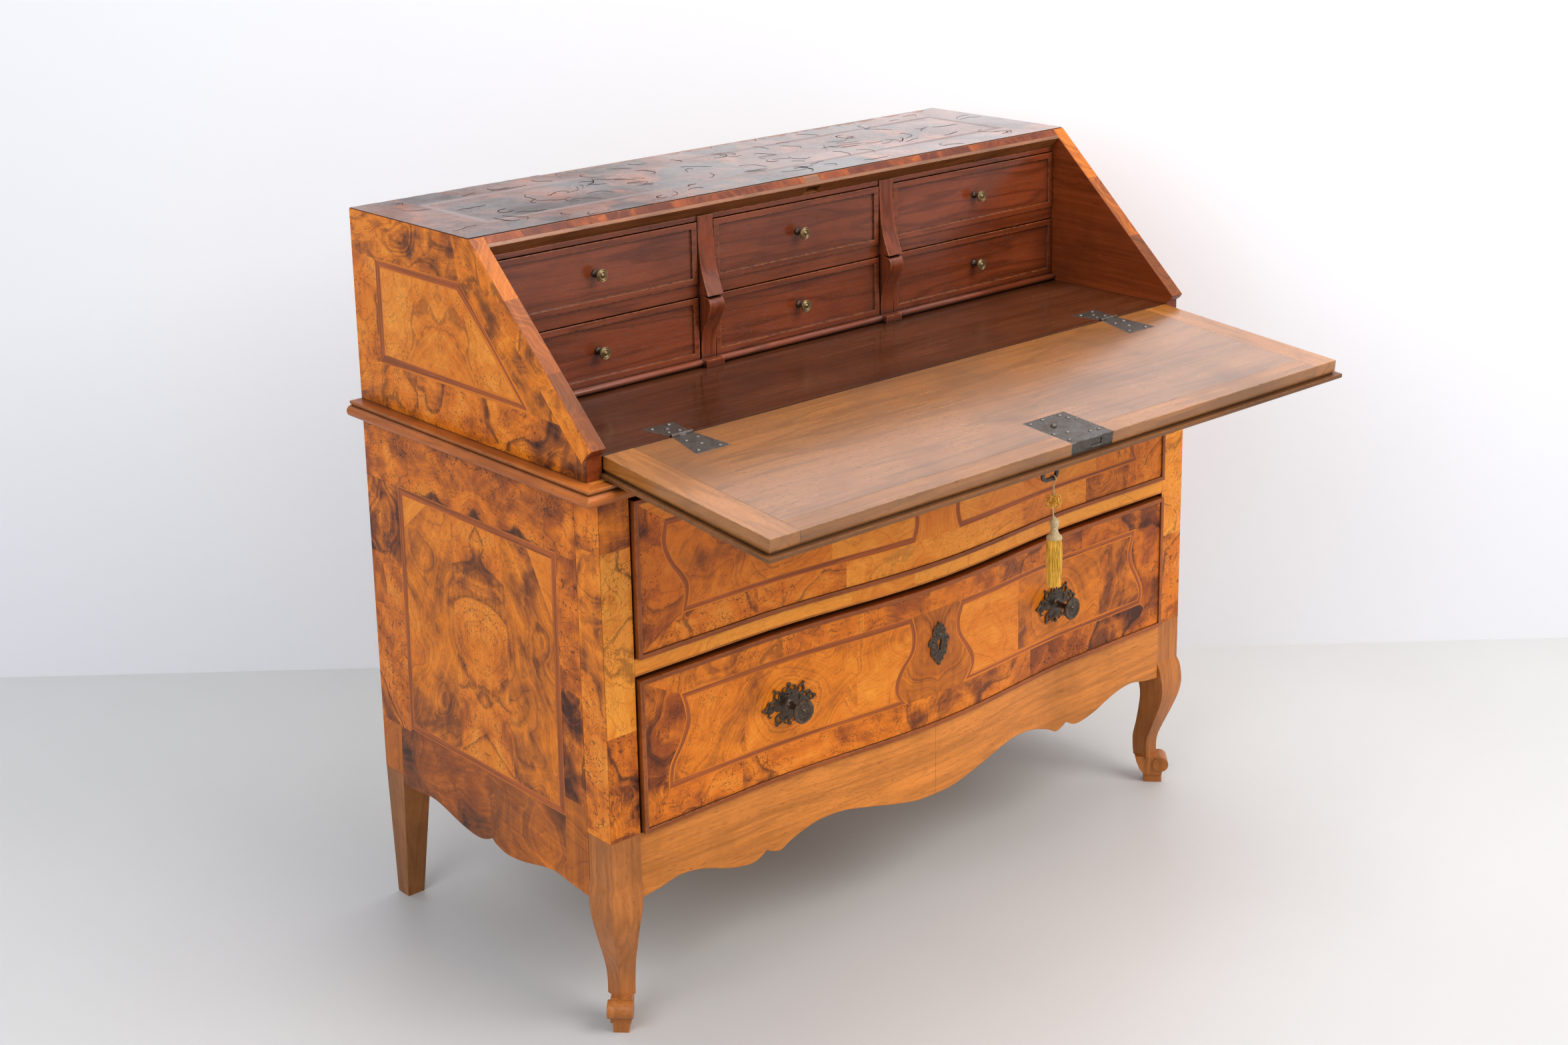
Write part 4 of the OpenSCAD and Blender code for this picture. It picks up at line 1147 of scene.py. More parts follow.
def lay(leaves, name, place, body="case", turned_over=False, woods=("burl", "banding"),
        gap=None, strips=(), nodes=(), shade=0.0):
    """Cuts the leaves, bends them to their face by place(a, b) and gives them thickness."""
    points, faces, charts, looks, knots, bands = [], [], [], [], [], []
    for one in leaves:
        base = len(points)
        points += [(p[0] / 1000, p[1] / 1000, 0) for p in one["points"]]
        tone, *others = one["look"]
        for f in one["faces"]:
            ring = [one["points"][k] for k in f]
            order = f if area_of(ring) > 0 else tuple(reversed(f))
            faces.append(tuple(base + k for k in order))
            charts += [v for k in order for v in one["chart"][k]]
            # shade moves the tone of each leaf but the bands: painted light above nought, painted
            # shade below.
            looks += [tone if one["band"] else tone + shade, *others]
            knots += one["knot"]
            bands.append(int(one["band"]))
    mesh = bpy.data.meshes.new(name)
    mesh.from_pydata(points, [], faces)
    mesh.uv_layers.new(name="Grain").data.foreach_set("uv", charts)
    mesh.polygons.foreach_set("material_index", bands)
    for label, values in (("leaf", looks), ("knot", knots)):
        mesh.attributes.new(label, "FLOAT_COLOR", "FACE").data.foreach_set("color", values)
    piece = shown(name, mesh)
    for wood in woods:
        mesh.materials.append(FINISH[wood])
    bench(piece)
    gap = gap or bpy.context.scene.desk_veneer.seam
    bpy.ops.mesh.inset(thickness=gap / 2, depth=0, use_boundary=True, use_individual=False)
    bpy.ops.mesh.select_all(action="INVERT")
    bpy.ops.mesh.delete(type="FACE")
    if strips:
        bpy.ops.mesh.select_all(action="SELECT")
        bpy.ops.mesh.quads_convert_to_tris(quad_method="BEAUTY", ngon_method="BEAUTY")
    for x in strips:
        bpy.ops.mesh.select_all(action="SELECT")
        bpy.ops.mesh.bisect(plane_co=(x / 1000, 0, 0), plane_no=(1, 0, 0))
    bpy.ops.mesh.select_all(action="SELECT")
    if turned_over:
        bpy.ops.mesh.flip_normals()
    lay_down()
    for v in mesh.vertices:
        v.co = place(v.co.x * 1000, v.co.y * 1000)
    mesh.update()
    press(piece, "SOLIDIFY", thickness=LEAF_T / 1000, offset=-1.0, use_even_offset=True)
    finish(piece, name, body, None, nodes, None)


BOTTOM_WAVE = [(0, 18), (9, 11), (36, 5), (75, 9), (140, 23), (185, 20), (227, 16)]
SIDE_MIDDLE = 273
SIDE_FOOT = 174


def side_skirt():
    """The scalloped lower edge of a side, from the back leg to the front post."""
    half = [(p[0], SIDE_FOOT + p[1]) for p in spline(BOTTOM_WAVE)]
    return [(SIDE_MIDDLE - p[0], p[1]) for p in reversed(half)] + [
        (SIDE_MIDDLE + p[0], p[1]) for p in half[1:]
    ]


def framed(outer, inner, seed):
    """Four mitred bands between two four-cornered outlines."""
    return [
        strip([outer[k], outer[(k + 1) % 4]], [inner[k], inner[(k + 1) % 4]], seed + 0.13 * k)
        for k in range(4)
    ]


def lower_side_leaves():
    """A lower side: a field of four matched leaves round an oval, in a band and a border."""
    top, back, front = LOWER_TOP, SIDE_BACK, SIDE_FRONT
    skirt = side_skirt()
    left = [p for p in skirt if p[0] <= SIDE_MIDDLE]
    right = [p for p in skirt if SIDE_MIDDLE <= p[0] <= 452]
    block = [p for p in skirt if p[0] > 452]
    knot = (274, 486, 62, 92)
    above = dict(centre=(272, 700))
    matched = dict(centre=(273, 480), knot=knot)
    made = framed(
        [(82, 659), (456, 659), (452, 290), (77, 290)],
        [(93, 648), (445, 648), (440, 300), (88, 300)], 0.21,
    )
    return made + [
        leaf(oblong(back, 659, 272, top), 0.50, 1.0, 8, 0.31, **above),
        leaf(oblong(272, 659, front, top), 0.42, 1.0, 8, 0.31, True, **above),
        leaf([(back, 545), (80.5, 545), (82, 659), (back, 659)], 0.60, 1.0, 90, 0.45, red=0.15),
        leaf([(back, 465), (30, 468), (36, 500), (28, 530), (80.3, 536), (80.5, 545),
              (back, 545)], 0.42, 1.0, 70, 0.53),
        leaf([(back, 285), (77, 285), (77, 290), (79.5, 465), (80.3, 536), (28, 530), (36, 500),
              (30, 468), (back, 465)], 0.58, 1.0, 90, 0.57, red=0.1),
        leaf([(back, 206.5), (46, 206.5), (50, 285), (back, 285)], 0.40, 0.0, 90, 0.62),
        leaf([(50, 285), (46, 206.5)] + left + [(273, 290), (77, 290), (77, 285)],
             0.30, 0.6, 12, 0.67),
        leaf(right + [(452, 290), (273, 290)], 0.40, 0.4, -8, 0.71),
        leaf([(452, 290), right[-1]] + block + [(front, 318), (452.5, 318)], 0.42, 0.0, 90, 0.76),
        leaf([(452.5, 318), (front, 318), (front, 470), (454, 476)], 0.50, 1.0, 90, 0.81, red=0.1),
        leaf([(454, 476), (front, 470), (front, 659), (456, 659)], 0.50, 1.0, 80, 0.86, red=0.1),
        leaf([(91.5, 600), (88, 300), (212, 300), (208, 380), (214, 470), (209, 560), (213, 648),
              (152, 648)], 0.60, 0.62, 62, 0.12, knot=knot),
        leaf([(93, 648), (91.5, 600), (152, 648)], 0.74, 0.4, 40, 0.18),
        leaf([(212, 300), (273, 300), (273, 648), (213, 648), (209, 560), (214, 470),
              (208, 380)], 0.66, 0.85, 90, 0.24, **matched),
        leaf([(273, 300), (338, 300), (332, 400), (337, 520), (331, 648), (273, 648)],
             0.66, 0.85, 90, 0.24, True, **matched),
        leaf([(338, 300), (440, 300), (443, 560), (392, 648), (331, 648), (337, 520),
              (332, 400)], 0.56, 0.66, -58, 0.38, knot=knot),
        leaf([(392, 648), (443, 560), (445, 648)], 0.76, 0.4, -35, 0.43),
    ]


def upper_side_leaves():
    """An upper side: two matched leaves in a band, with a border that follows the slope."""

    def on_slope(u, w):
        """A point by the slanted edge: u up along the slope, w in from the edge."""
        in_from_edge = SLANT_OFF - w
        return (
            HINGE_D - u * SLANT_COS + in_from_edge * SLANT_SIN,
            HINGE_Z + u * SLANT_SIN + in_from_edge * SLANT_COS,
        )

    low, top, back = 771.4, 1044.4, SIDE_BACK
    tip, head, tip_in = on_slope(-1.4, 0.2), on_slope(337.2, 0.2), on_slope(0, 28)
    foot_in, middle_in = on_slope(60, 28.5), on_slope(150, 27)
    head_in = (head[0] - 28 / SLANT_SIN, top)
    matched = dict(centre=(213, 900))
    made = framed(
        [(60, 983), (266, 983), (418, 835), (60, 835)],
        [(72, 971), (260, 971), (388, 848), (72, 848)], 0.35,
    )
    return made + [
        leaf([tip, head, head_in, middle_in, foot_in, tip_in, (530.6, 805)],
             0.58, 0.85, -43, 0.15),
        leaf([(back, 983), (60, 983), (60, 835), (back, 835)], 0.58, 0.9, 90, 0.25, red=0.1),
        leaf([(back, low), (150, low), (150, 835), (60, 835), (back, 835)],
             0.56, 0.85, 10, 0.29),
        leaf(oblong(150, low, 340, 835), 0.62, 0.9, 4, 0.33, red=0.1),
        leaf([(340, low), (530.6, low), (530.6, 801), tip_in, foot_in, (418, 835), (340, 835)],
             0.54, 0.9, -12, 0.39),
        leaf([(418, 835), foot_in, middle_in, head_in, (266, 983)], 0.50, 0.9, -43, 0.47),
        leaf([(back, 983), (266, 983), head_in, (150, top), (back, top)], 0.58, 0.85, 6, 0.55),
        leaf(oblong(72, 848, 213, 971), 0.76, 0.7, 40, 0.64, red=0.12, **matched),
        leaf([(213, 848), (388, 848), (260, 971), (213, 971)], 0.74, 0.7, 40, 0.64, True, 0.15,
             **matched),
    ]


def shifted(line, width):
    """A line moved sideways by width, to its left."""
    made = []
    for i, (x, y) in enumerate(line):
        a, b = line[max(i - 1, 0)], line[min(i + 1, len(line) - 1)]
        run = math.dist(a, b)
        made.append((x - (b[1] - a[1]) / run * width, y + (b[0] - a[0]) / run * width))
    return made


def between(line, low, high, count=20):
    """An upright line sampled evenly from low to high; where it stops short it runs on."""
    made = []
    for k in range(count + 1):
        y = low + (high - low) * k / count
        i = max([0] + [n for n in range(len(line) - 1) if line[n][1] <= y])
        a, b = line[i], line[i + 1]
        made.append((a[0] + (b[0] - a[0]) * (y - a[1]) / (b[1] - a[1]), y))
    return made


def panel_frame(left, right, low, high, half, seed):
    """The band round one panel: returns its bands, its inner outline and its two outer lines."""
    left, right = spline(left, 4), spline(right, 4)
    lo = between(shifted(left, half), low - half, high + half)
    li = between(shifted(left, -half), low + half, high - half)
    ri = between(shifted(right, half), low + half, high - half)
    ro = between(shifted(right, -half), low - half, high + half)
    bands = [
        strip(lo, li, seed), strip(ri, ro, seed + 0.21),
        strip([lo[-1], ro[-1]], [li[-1], ri[-1]], seed + 0.37),
        strip([lo[0], ro[0]], [li[0], ri[0]], seed + 0.53),
    ]
    return bands, li + list(reversed(ri)), lo, ro


def drawer_leaves(plan, looks, half):
    """All the leaves of a long drawer: two banded panels, a vase between them and a border."""
    edge, z0, z1 = 512.6, plan["foot"], plan["head"]
    low, high = plan["field"]
    lines = plan["lines"]
    left_bands, left_field, l0, l1 = panel_frame(lines[0], lines[1], low, high, half, 0.11)
    right_bands, right_field, r0, r1 = panel_frame(lines[2], lines[3], low, high, half, 0.27)
    made = left_bands + right_bands
    for side, name, field in ((-1, "left", left_field), (1, "right", right_field)):
        knot = (side * PULL_X, plan["pull"], 62, 48)
        for part, look in zip(parts_at(field, looks[name + "_seams"]), looks[name]):
            made.append(leaf(part, *look[:4], red=look[4], knot=knot))
    middle = l1 + list(reversed(r0))
    for part, flip in zip(parts_at(middle, [-1]), (False, True)):
        made.append(leaf(part, *looks["vase"], flip, centre=(-1, (low + high) / 2)))
    ends = ([(-edge, z0)] + l0 + [(-edge, z1)], [(edge, z1)] + list(reversed(r1)) + [(edge, z0)])
    upper = [(-edge, z1), l0[-1], l1[-1], r0[-1], r1[-1], (edge, z1)]
    lower = [(-edge, z0), (edge, z0), r1[0], r0[0], l1[0], l0[0]]
    border = list(zip(ends, looks["ends"]))
    border += zip(parts_at(upper, plan["joints"][0]), looks["top"])
    border += zip(parts_at(lower, plan["joints"][1]), looks["bottom"])
    return made + [leaf(part, *look[:4], red=look[4]) for part, look in border]


# In each plan, shade is painted on the whole front: the lower drawer darker as painted shade, the
# upper drawer lighter as painted light.
LOWER_PLAN = {
    "foot": 291.2, "head": 491.8, "field": (338, 457), "pull": 391, "shade": -0.10,
    "joints": ([-276, -137, 134, 330], [-350, -200, -1, 210]),
    "lines": (
        [(-472, 338), (-469, 365), (-453, 390), (-441, 416), (-441, 437), (-447, 457)],
        [(-69, 338), (-78, 350), (-78, 369), (-66, 391), (-50, 409), (-47, 434), (-53, 457)],
        [(62, 338), (72, 350), (72, 369), (59, 390), (44, 412), (41, 434), (50, 457)],
        [(466, 338), (470, 356), (459, 381), (445, 406), (441, 428), (450, 457)],
    ),
}
UPPER_PLAN = {
    "foot": 534.2, "head": 734.8, "field": (576, 701), "pull": 634, "shade": 0.12,
    "joints": ([-276, -137, 134], [-316, -166, -3, 169, 337]),
    "lines": (
        [(-441, 576), (-436, 603), (-444, 622), (-462, 647), (-472, 675), (-467, 701)],
        [(-47, 576), (-41, 594), (-42, 614), (-58, 636), (-76, 660), (-76, 680), (-69, 701)],
        [(47, 576), (41, 594), (42, 614), (57, 636), (72, 660), (72, 680), (62, 701)],
        [(450, 576), (444, 587), (441, 606), (452, 634), (467, 660), (470, 680), (463, 701)],
    ),
}
# Each look is tone, curl, angle, seed, red.
LOWER_LOOKS = {
    "left_seams": [-345, -150],
    "left": [(0.68, 0.6, 60, 0.14, 0), (0.70, 0.55, 30, 0.19, 0), (0.80, 0.5, 10, 0.23, 0.05)],
    "right_seams": [180, 372],
    "right": [(0.78, 0.4, 0, 0.29, 0.05), (0.62, 0.5, 20, 0.34, 0), (0.54, 0.8, 70, 0.37, 0.1)],
    "vase": (0.58, 0.3, 90, 0.41),
    "ends": [(0.58, 0.8, 80, 0.46, 0.2), (0.50, 0.8, 80, 0.51, 0.25)],
    "top": [(0.70, 0.8, 0, 0.54, 0.1), (0.64, 0.9, 0, 0.57, 0.1), (0.60, 0.8, 0, 0.61, 0.1),
            (0.50, 0.9, 0, 0.66, 0.1), (0.46, 0.9, 0, 0.69, 0.2)],
    "bottom": [(0.58, 0.9, 0, 0.72, 0.15), (0.62, 0.9, 0, 0.77, 0.15),
               (0.62, 0.8, 0, 0.82, 0.1), (0.66, 0.8, 0, 0.85, 0.1), (0.40, 1.0, 0, 0.88, 0.1)],
}
UPPER_LOOKS = {
    "left_seams": [-330, -190],
    "left": [(0.48, 0.6, 60, 0.16, 0.1), (0.58, 0.55, 0, 0.20, 0.05),
             (0.70, 0.45, 10, 0.26, 0.05)],
    "right_seams": [190, 360],
    "right": [(0.74, 0.4, 0, 0.32, 0.05), (0.60, 0.5, 20, 0.36, 0.1),
              (0.54, 0.8, 70, 0.39, 0.15)],
    "vase": (0.58, 0.35, 90, 0.43),
    "ends": [(0.42, 0.85, 80, 0.48, 0.35), (0.46, 0.8, 80, 0.53, 0.3)],
    "top": [(0.46, 0.9, 0, 0.56, 0.1), (0.36, 0.9, 0, 0.59, 0.1), (0.56, 0.8, 0, 0.63, 0.1),
            (0.42, 0.9, 0, 0.68, 0.1)],
    "bottom": [(0.46, 0.9, 0, 0.74, 0.25), (0.52, 0.8, 0, 0.79, 0.2), (0.68, 0.6, 0, 0.83, 0),
               (0.74, 0.5, 0, 0.86, 0), (0.62, 0.6, 0, 0.90, 0.05), (0.52, 0.8, 0, 0.93, 0.15)],
}


class DESK_OT_drawer_veneers(bpy.types.Operator):
    """Veneers the two long serpentine drawer fronts"""

    bl_idname = "desk.drawer_veneers"
    bl_label = "Drawer veneers"

    def execute(self, context):
        half = context.scene.desk_veneer.banding * 1000 / 2

        def place(a, b):
            return at(a, FRONT_D + bow_at(a) + FIELD_PROUD + LIFT, b)

        for body, plan, looks in (
            ("lower_drawer", LOWER_PLAN, LOWER_LOOKS), ("upper_drawer", UPPER_PLAN, UPPER_LOOKS)
        ):
            lay(
                drawer_leaves(plan, looks, half), body + "_veneer", place, body,
                strips=range(-504, 512, STRIP_W), shade=plan["shade"],
            )
        return {"FINISHED"}


class DESK_OT_side_veneers(bpy.types.Operator):
    """Veneers the lower and upper sides and the sides of the posts"""

    bl_idname = "desk.side_veneers"
    bl_label = "Side veneers"

    def execute(self, context):
        looks = [(0.66, 0.2), (0.60, 0.95), (0.68, 0.8), (0.60, 0.9), (0.52, 1.0)]
        posts = [
            leaf(oblong(500.3, low, 549.7, high), tone, curl, 90, 0.17 + 0.11 * k)
            for k, low, high, (tone, curl) in spans(POST_SIDE_JOINTS, looks)
        ]
        for name, side in (("left", -1), ("right", 1)):

            def place(a, b, x=side * (HALF_W + LIFT)):
                return at(x, a, b)

            over = side > 0
            # The lower sides' leaves are darkened a little: painted shade on the lower part of the
            # case.
            lay(lower_side_leaves(), name + "_lower_veneer", place, turned_over=over, shade=-0.06)
            lay(upper_side_leaves(), name + "_upper_veneer", place, turned_over=over)
            lay(posts, name + "_post_side_veneer", place, turned_over=over)
        return {"FINISHED"}


def on_slant(x, u):
    """A place on the slanted front edge of the upper case, u up the slope from the hinge line."""
    off = SLANT_OFF + EDGE_LIFT
    return at(
        x, HINGE_D - u * SLANT_COS + off * SLANT_SIN, HINGE_Z + u * SLANT_SIN + off * SLANT_COS
    )


class DESK_OT_edge_veneers(bpy.types.Operator):
    """Veneers the slanted edges of the upper sides and of the top"""

    bl_idname = "desk.edge_veneers"
    bl_label = "Slanted edge veneers"

    def execute(self, context):
        made = []
        for side in (-1, 1):
            x0, x1 = sorted((side * 547.3, side * 569.6))
            # Each slope's pieces grow lighter towards the top: painted sheen.
            for k, low, high, tone in spans((-1.2, 118, 236, 337.0), (0.22, 0.32, 0.38)):
                seed = 0.21 * k + 0.1 * side + 0.2
                made.append(leaf(oblong(x0, low, x1, high), tone, 0.15, 90, seed))
        # Two runs, left and right of the notch for the bolt of the fall.
        for run in (
            (-546.7, -455, -350, -236, -120, -20, 9.5), (38.5, 130, 246, 352, 460, 546.7)
        ):
            for k, x0, x1 in spans(run):
                tone = 0.06 + 0.06 * (k % 3)
                box = oblong(x0, 325.6, x1, 337.0)
                made.append(leaf(box, tone, 0.5, 90, 0.07 * k + 0.31, red=0.3))
        lay(made, "slant_edge_veneer", on_slant)
        return {"FINISHED"}


class DESK_OT_front_veneers(bpy.types.Operator):
    """Veneers the faces of the posts and the rail between the drawers"""

    bl_idname = "desk.front_veneers"
    bl_label = "Front veneers"

    def execute(self, context):
        looks = [(0.42, 0.4), (0.54, 0.95), (0.92, 0.75), (0.98, 0.9), (0.46, 0.8)]
        leaves = []
        for side in (-1, 1):
            for k, low, high, (tone, curl) in spans(POST_JOINTS, looks):
                box = oblong(side * POST_IN, low, side * POST_OUT, high)
                seed = 0.13 + 0.09 * k + 0.02 * side
                leaves.append(leaf(box, tone, curl, 90, seed, red=0.16))
        lay(leaves, "post_veneer", lambda a, b: at(a, FRONT_D + LIFT, b))
        joints = [-521.6, -410, -300, -153, -40, 64, 222, 278, 400, 521.6]
        tones = (0.84, 1.0, 0.92, 0.80, 1.04, 0.98, 0.86, 1.02, 0.94)
        leaves = [
            leaf(oblong(a, RAIL_LOW, b, RAIL_HIGH), tone, 0.35, 3 * (-1) ** k,
                 0.09 * k + 0.05, red=0.12)
            for k, a, b, tone in spans(joints, tones)
        ]
        lay(
            leaves, "rail_veneer", lambda a, b: at(a, FRONT_D + bow_at(a) + LIFT, b),
            strips=range(-518, 522, STRIP_W),
        )
        return {"FINISHED"}


def ragged_back(x0, x1, shaker):
    """The broken back edge of the top veneer between two places."""
    count = max(2, int((x1 - x0) / 9))
    made = []
    for k in range(count + 1):
        x = x0 + (x1 - x0) * k / count
        torn = 24 if -250 < x < 545 else 3  # both ends have kept their edge
        if 0 < k < count:
            torn = shaker.uniform(0.25, 1.0) * torn * (1.5 if shaker.random() < 0.12 else 1)
        else:
            torn = torn * 0.4
        made.append((x, max(0.6, torn)))
    return made


class DESK_OT_top_veneer(bpy.types.Operator):
    """Veneers the top, with its broken back edge"""

    bl_idname = "desk.top_veneer"
    bl_label = "Top veneer"

    def execute(self, context):
        shaker = random.Random(11)
        left, right, edge = -497, 501, 569.7
        made = framed(oblong(left, 230, right, 62), oblong(-487, 220, 491, 72), 0.19)
        joints = [left, -325, -205, -10, 175, 300, right]
        tones = (0.30, 0.24, 0.42, 0.34, 0.44, 0.34)
        for k, a, b, tone in spans(joints, tones):
            made.append(leaf(oblong(a, 230, b, TOP_FRONT), tone, 1.0, 90, 0.06 + 0.13 * k))
        joints = [left, -250, -40, 150, 330, right]
        for k, a, b in spans(joints):
            back = ragged_back(a, b, shaker)
            made.append(leaf(back + [(b, 62), (a, 62)], 0.22 + 0.04 * k, 1.0, 5, 0.41 + 0.09 * k))
        for a, b, tone, seed in ((-edge, left, 0.26, 0.77), (right, edge, 0.40, 0.83)):
            back = ragged_back(a, b, shaker)
            made.append(leaf(back + [(b, TOP_FRONT), (a, TOP_FRONT)], tone, 1.0, 90, seed))
        for a, b, tone, flip, seed, spot in (
            (-487, -240, 0.22, False, 0.22, None), (-240, 2, 0.28, True, 0.22, (-75, 180, 55, 40)),
            (2, 250, 0.38, False, 0.36, (270, 165, 60, 40)),
            (250, 491, 0.42, True, 0.36, (420, 200, 60, 45)),
        ):
            made.append(leaf(oblong(a, 72, b, 220), tone, 1.0, 15, seed, flip, knot=spot))
        lay(
            made, "top_leaves", lambda a, b: at(a, b, TOP_LEAF_Z), turned_over=True,
            woods=("top_burl", "top_banding"), nodes=["top_veneer"],
        )
        return {"FINISHED"}


# Where the first cracks start, x and d; the others start anywhere.
CRACK_STARTS = [
    (-430, 200), (-455, 245), (-360, 160), (-330, 190), (-300, 140), (-250, 120), (-200, 150),
    (-170, 175), (-130, 120), (-90, 205), (-60, 130), (0, 165), (60, 100), (120, 190),
    (180, 150), (240, 170), (270, 110), (330, 180), (390, 205), (430, 130), (470, 250),
]


class DESK_OT_top_cracks(bpy.types.Operator):
    """Splits in the dry veneer of the top"""

    bl_idname = "desk.top_cracks"
    bl_label = "Cracks of the top"

    def execute(self, context):
        shaker = random.Random(23)
        starts = CRACK_STARTS + [
            (shaker.uniform(-540, 540), shaker.uniform(26, 280)) for _ in range(80)
        ]
        made = []
        for k, (x, d) in enumerate(starts):
            heading = shaker.uniform(-0.7, 0.7) + (math.pi if shaker.random() < 0.5 else 0)
            bend = shaker.uniform(-0.34, 0.34)
            steps = shaker.randint(5, 11)
            line = [(x, d)]
            for _ in range(steps):
                heading += bend + shaker.uniform(-0.5, 0.5)
                reach = shaker.uniform(3, 7)
                x = min(560, max(-560, x + reach * math.cos(heading)))
                d = min(286, max(30, d + reach * math.sin(heading)))
                line.append((x, d))
            wide = shaker.choice((0.3, 0.4, 0.6, 0.9))
            left, right = [], []
            for n, (a, b) in enumerate(line):
                taper = math.sin(math.pi * (n + 0.35) / (steps + 0.7))
                here = wide * taper * shaker.uniform(0.6, 1.2)
                before, after = line[max(n - 1, 0)], line[min(n + 1, steps)]
                run = max(math.dist(before, after), 0.01)
                nx, ny = -(after[1] - before[1]) / run, (after[0] - before[0]) / run
                left.append((a + nx * here, b + ny * here))
                right.append((a - nx * here, b - ny * here))
            made.append({**strip(left, right, 0.01 * k), "band": False})
        lay(
            made, "top_crack_lines", lambda a, b: at(a, b, CRACK_Z), turned_over=True,
            woods=("crack",), gap=0.00002,
        )
        return {"FINISHED"}


class DESK_OT_fall_veneer(bpy.types.Operator):
    """Veneers the outer face of the fall, seen when it is shut"""

    bl_idname = "desk.fall_veneer"
    bl_label = "Fall veneer"

    def execute(self, context):
        edge, foot, head = 529.6, 8.4, 304.6
        made = framed(oblong(-452, 262, 452, 50), oblong(-442, 252, 442, 60), 0.29)
        for outline, tone, angle, seed, centre in (
            ([(edge, foot), (452, 50), (452, 262), (edge, head)], 0.40, 90, 0.15, None),
            ([(edge, head), (0, head), (0, 262), (452, 262)], 0.48, 0, 0.25, (0, 283)),
            ([(edge, foot), (0, foot), (0, 50), (452, 50)], 0.44, 0, 0.37, (0, 29)),
        ):
            for side in (-1, 1):
                made.append(leaf([(side * x, u) for x, u in outline], tone, 1.0, angle, seed,
                                 side > 0, centre=centre))
        for x, flip, centre in ((-442, 0, -221), (-221, 1, -221), (0, 0, 221), (221, 1, 221)):
            made.append(leaf(oblong(x, 60, x + 221, 252), 0.66, 0.7, 30, 0.48, bool(flip),
                             centre=(centre, 156)))
        lay(made, "fall_leaves", lambda a, b: on_fall(a, b, FALL_T + LIFT), "fall")
        return {"FINISHED"}


# Fittings


def scroll(cx, cy, r0, r1, start, end, thick, taper, height):
    """A tapering C-scroll of cast metal: its centre line in mm, from r0 to r1 about (cx, cy)."""
    line = bpy.data.curves.new("scroll", "CURVE")
    line.dimensions = "3D"
    line.bevel_depth = 0.001
    line.bevel_resolution = 2
    line.use_fill_caps = True
    run = line.splines.new("POLY")
    count = 18
    run.points.add(count - 1)
    for k, point in enumerate(run.points):
        t = k / (count - 1)
        a = math.radians(start + (end - start) * t)
        r = r0 + (r1 - r0) * t
        x, y, z = cx + r * math.cos(a), cy + r * math.sin(a), height + 0.5 * t
        point.co = (x / 1000, y / 1000, z / 1000, 1)
        point.radius = thick + (thick * taper - thick) * t
    take(shown("scroll", line))
    bpy.ops.object.convert(target="MESH")
    return bpy.context.object


def scroll_pair(rows, taper, height=2.6):
    """Scrolls on both sides of a plate; each row is cx, cy, r0, r1, start, end, thickness."""
    made = []
    for side in (-1, 1):
        for cx, cy, r0, r1, start, end, thick in rows:
            if side < 0:
                start, end = 180 - start, 180 - end
            made.append(scroll(side * cx, cy, r0, r1, start, end, thick, taper, height))
    return made


def pad(x, y, radius, low, high, squash=1.0):
    """A round pad of metal from low to high, its upper edge eased."""
    lay_down()
    bpy.ops.mesh.primitive_cylinder_add(
        vertices=28, radius=radius / 1000, depth=(high - low) / 1000,
        location=(x / 1000, y / 1000, (low + high) / 2000),
    )
    piece = bpy.context.object
    piece.scale.y = squash
    set_in(piece)
    bench(piece, False)
    choose_faces(piece, lambda normal: normal.z > 0.9)
    bpy.ops.mesh.inset(thickness=min(0.0012, radius / 4000))
    bpy.ops.transform.translate(value=(0, 0, 0.0005))
    lay_down()
    return piece


def cast(parts, grain=0.0007, keep=0.35):
    """Runs parts together into one soft casting."""
    piece = join(parts)
    press(piece, "REMESH", mode="VOXEL", voxel_size=grain)
    press(piece, "SMOOTH", factor=0.5, iterations=3)
    press(piece, "DECIMATE", ratio=keep)
    return piece


# Scrolls: cx, cy, r0, r1, start, end, thickness. Pads: x, y, radius, low, high.
PULL_SCROLLS = (
    (27, 4, 9.5, 3.4, 190, -90, 2.0), (38, 0.5, 7.4, 2.2, 200, -100, 1.9),
    (19, 19, 8.2, 2.4, -100, 200, 1.9), (17, -18, 8.0, 2.4, 100, -200, 1.8),
    (7, 24, 6.4, 2.0, -150, 120, 1.6), (6, -23, 5.6, 1.8, 150, -120, 1.5),
    (32, -8, 5.0, 1.6, 120, -150, 1.4), (33, 10, 5.0, 1.6, -120, 150, 1.4),
)
PULL_PADS = ((18, 3, 9, 1.2, 2.3), (31, 0, 6, 1.2, 2.3), (11, 13, 7, 1.2, 2.2),
             (10, -13, 7, 1.2, 2.2), (44, 2, 2.4, 1.3, 3.6), (25, 26, 2.2, 1.3, 3.4),
             (22, -24, 2.2, 1.3, 3.4))
PULL_MIDDLE = ((0, 0, 15, 1.2, 2.6), (0, 0, 9.5, 1.2, 3.8), (0, 29, 3.4, 1.3, 3.8),
               (0, -27, 3.0, 1.3, 3.6), (0, 20, 5, 1.2, 3.2), (0, -18, 5, 1.2, 3.2))
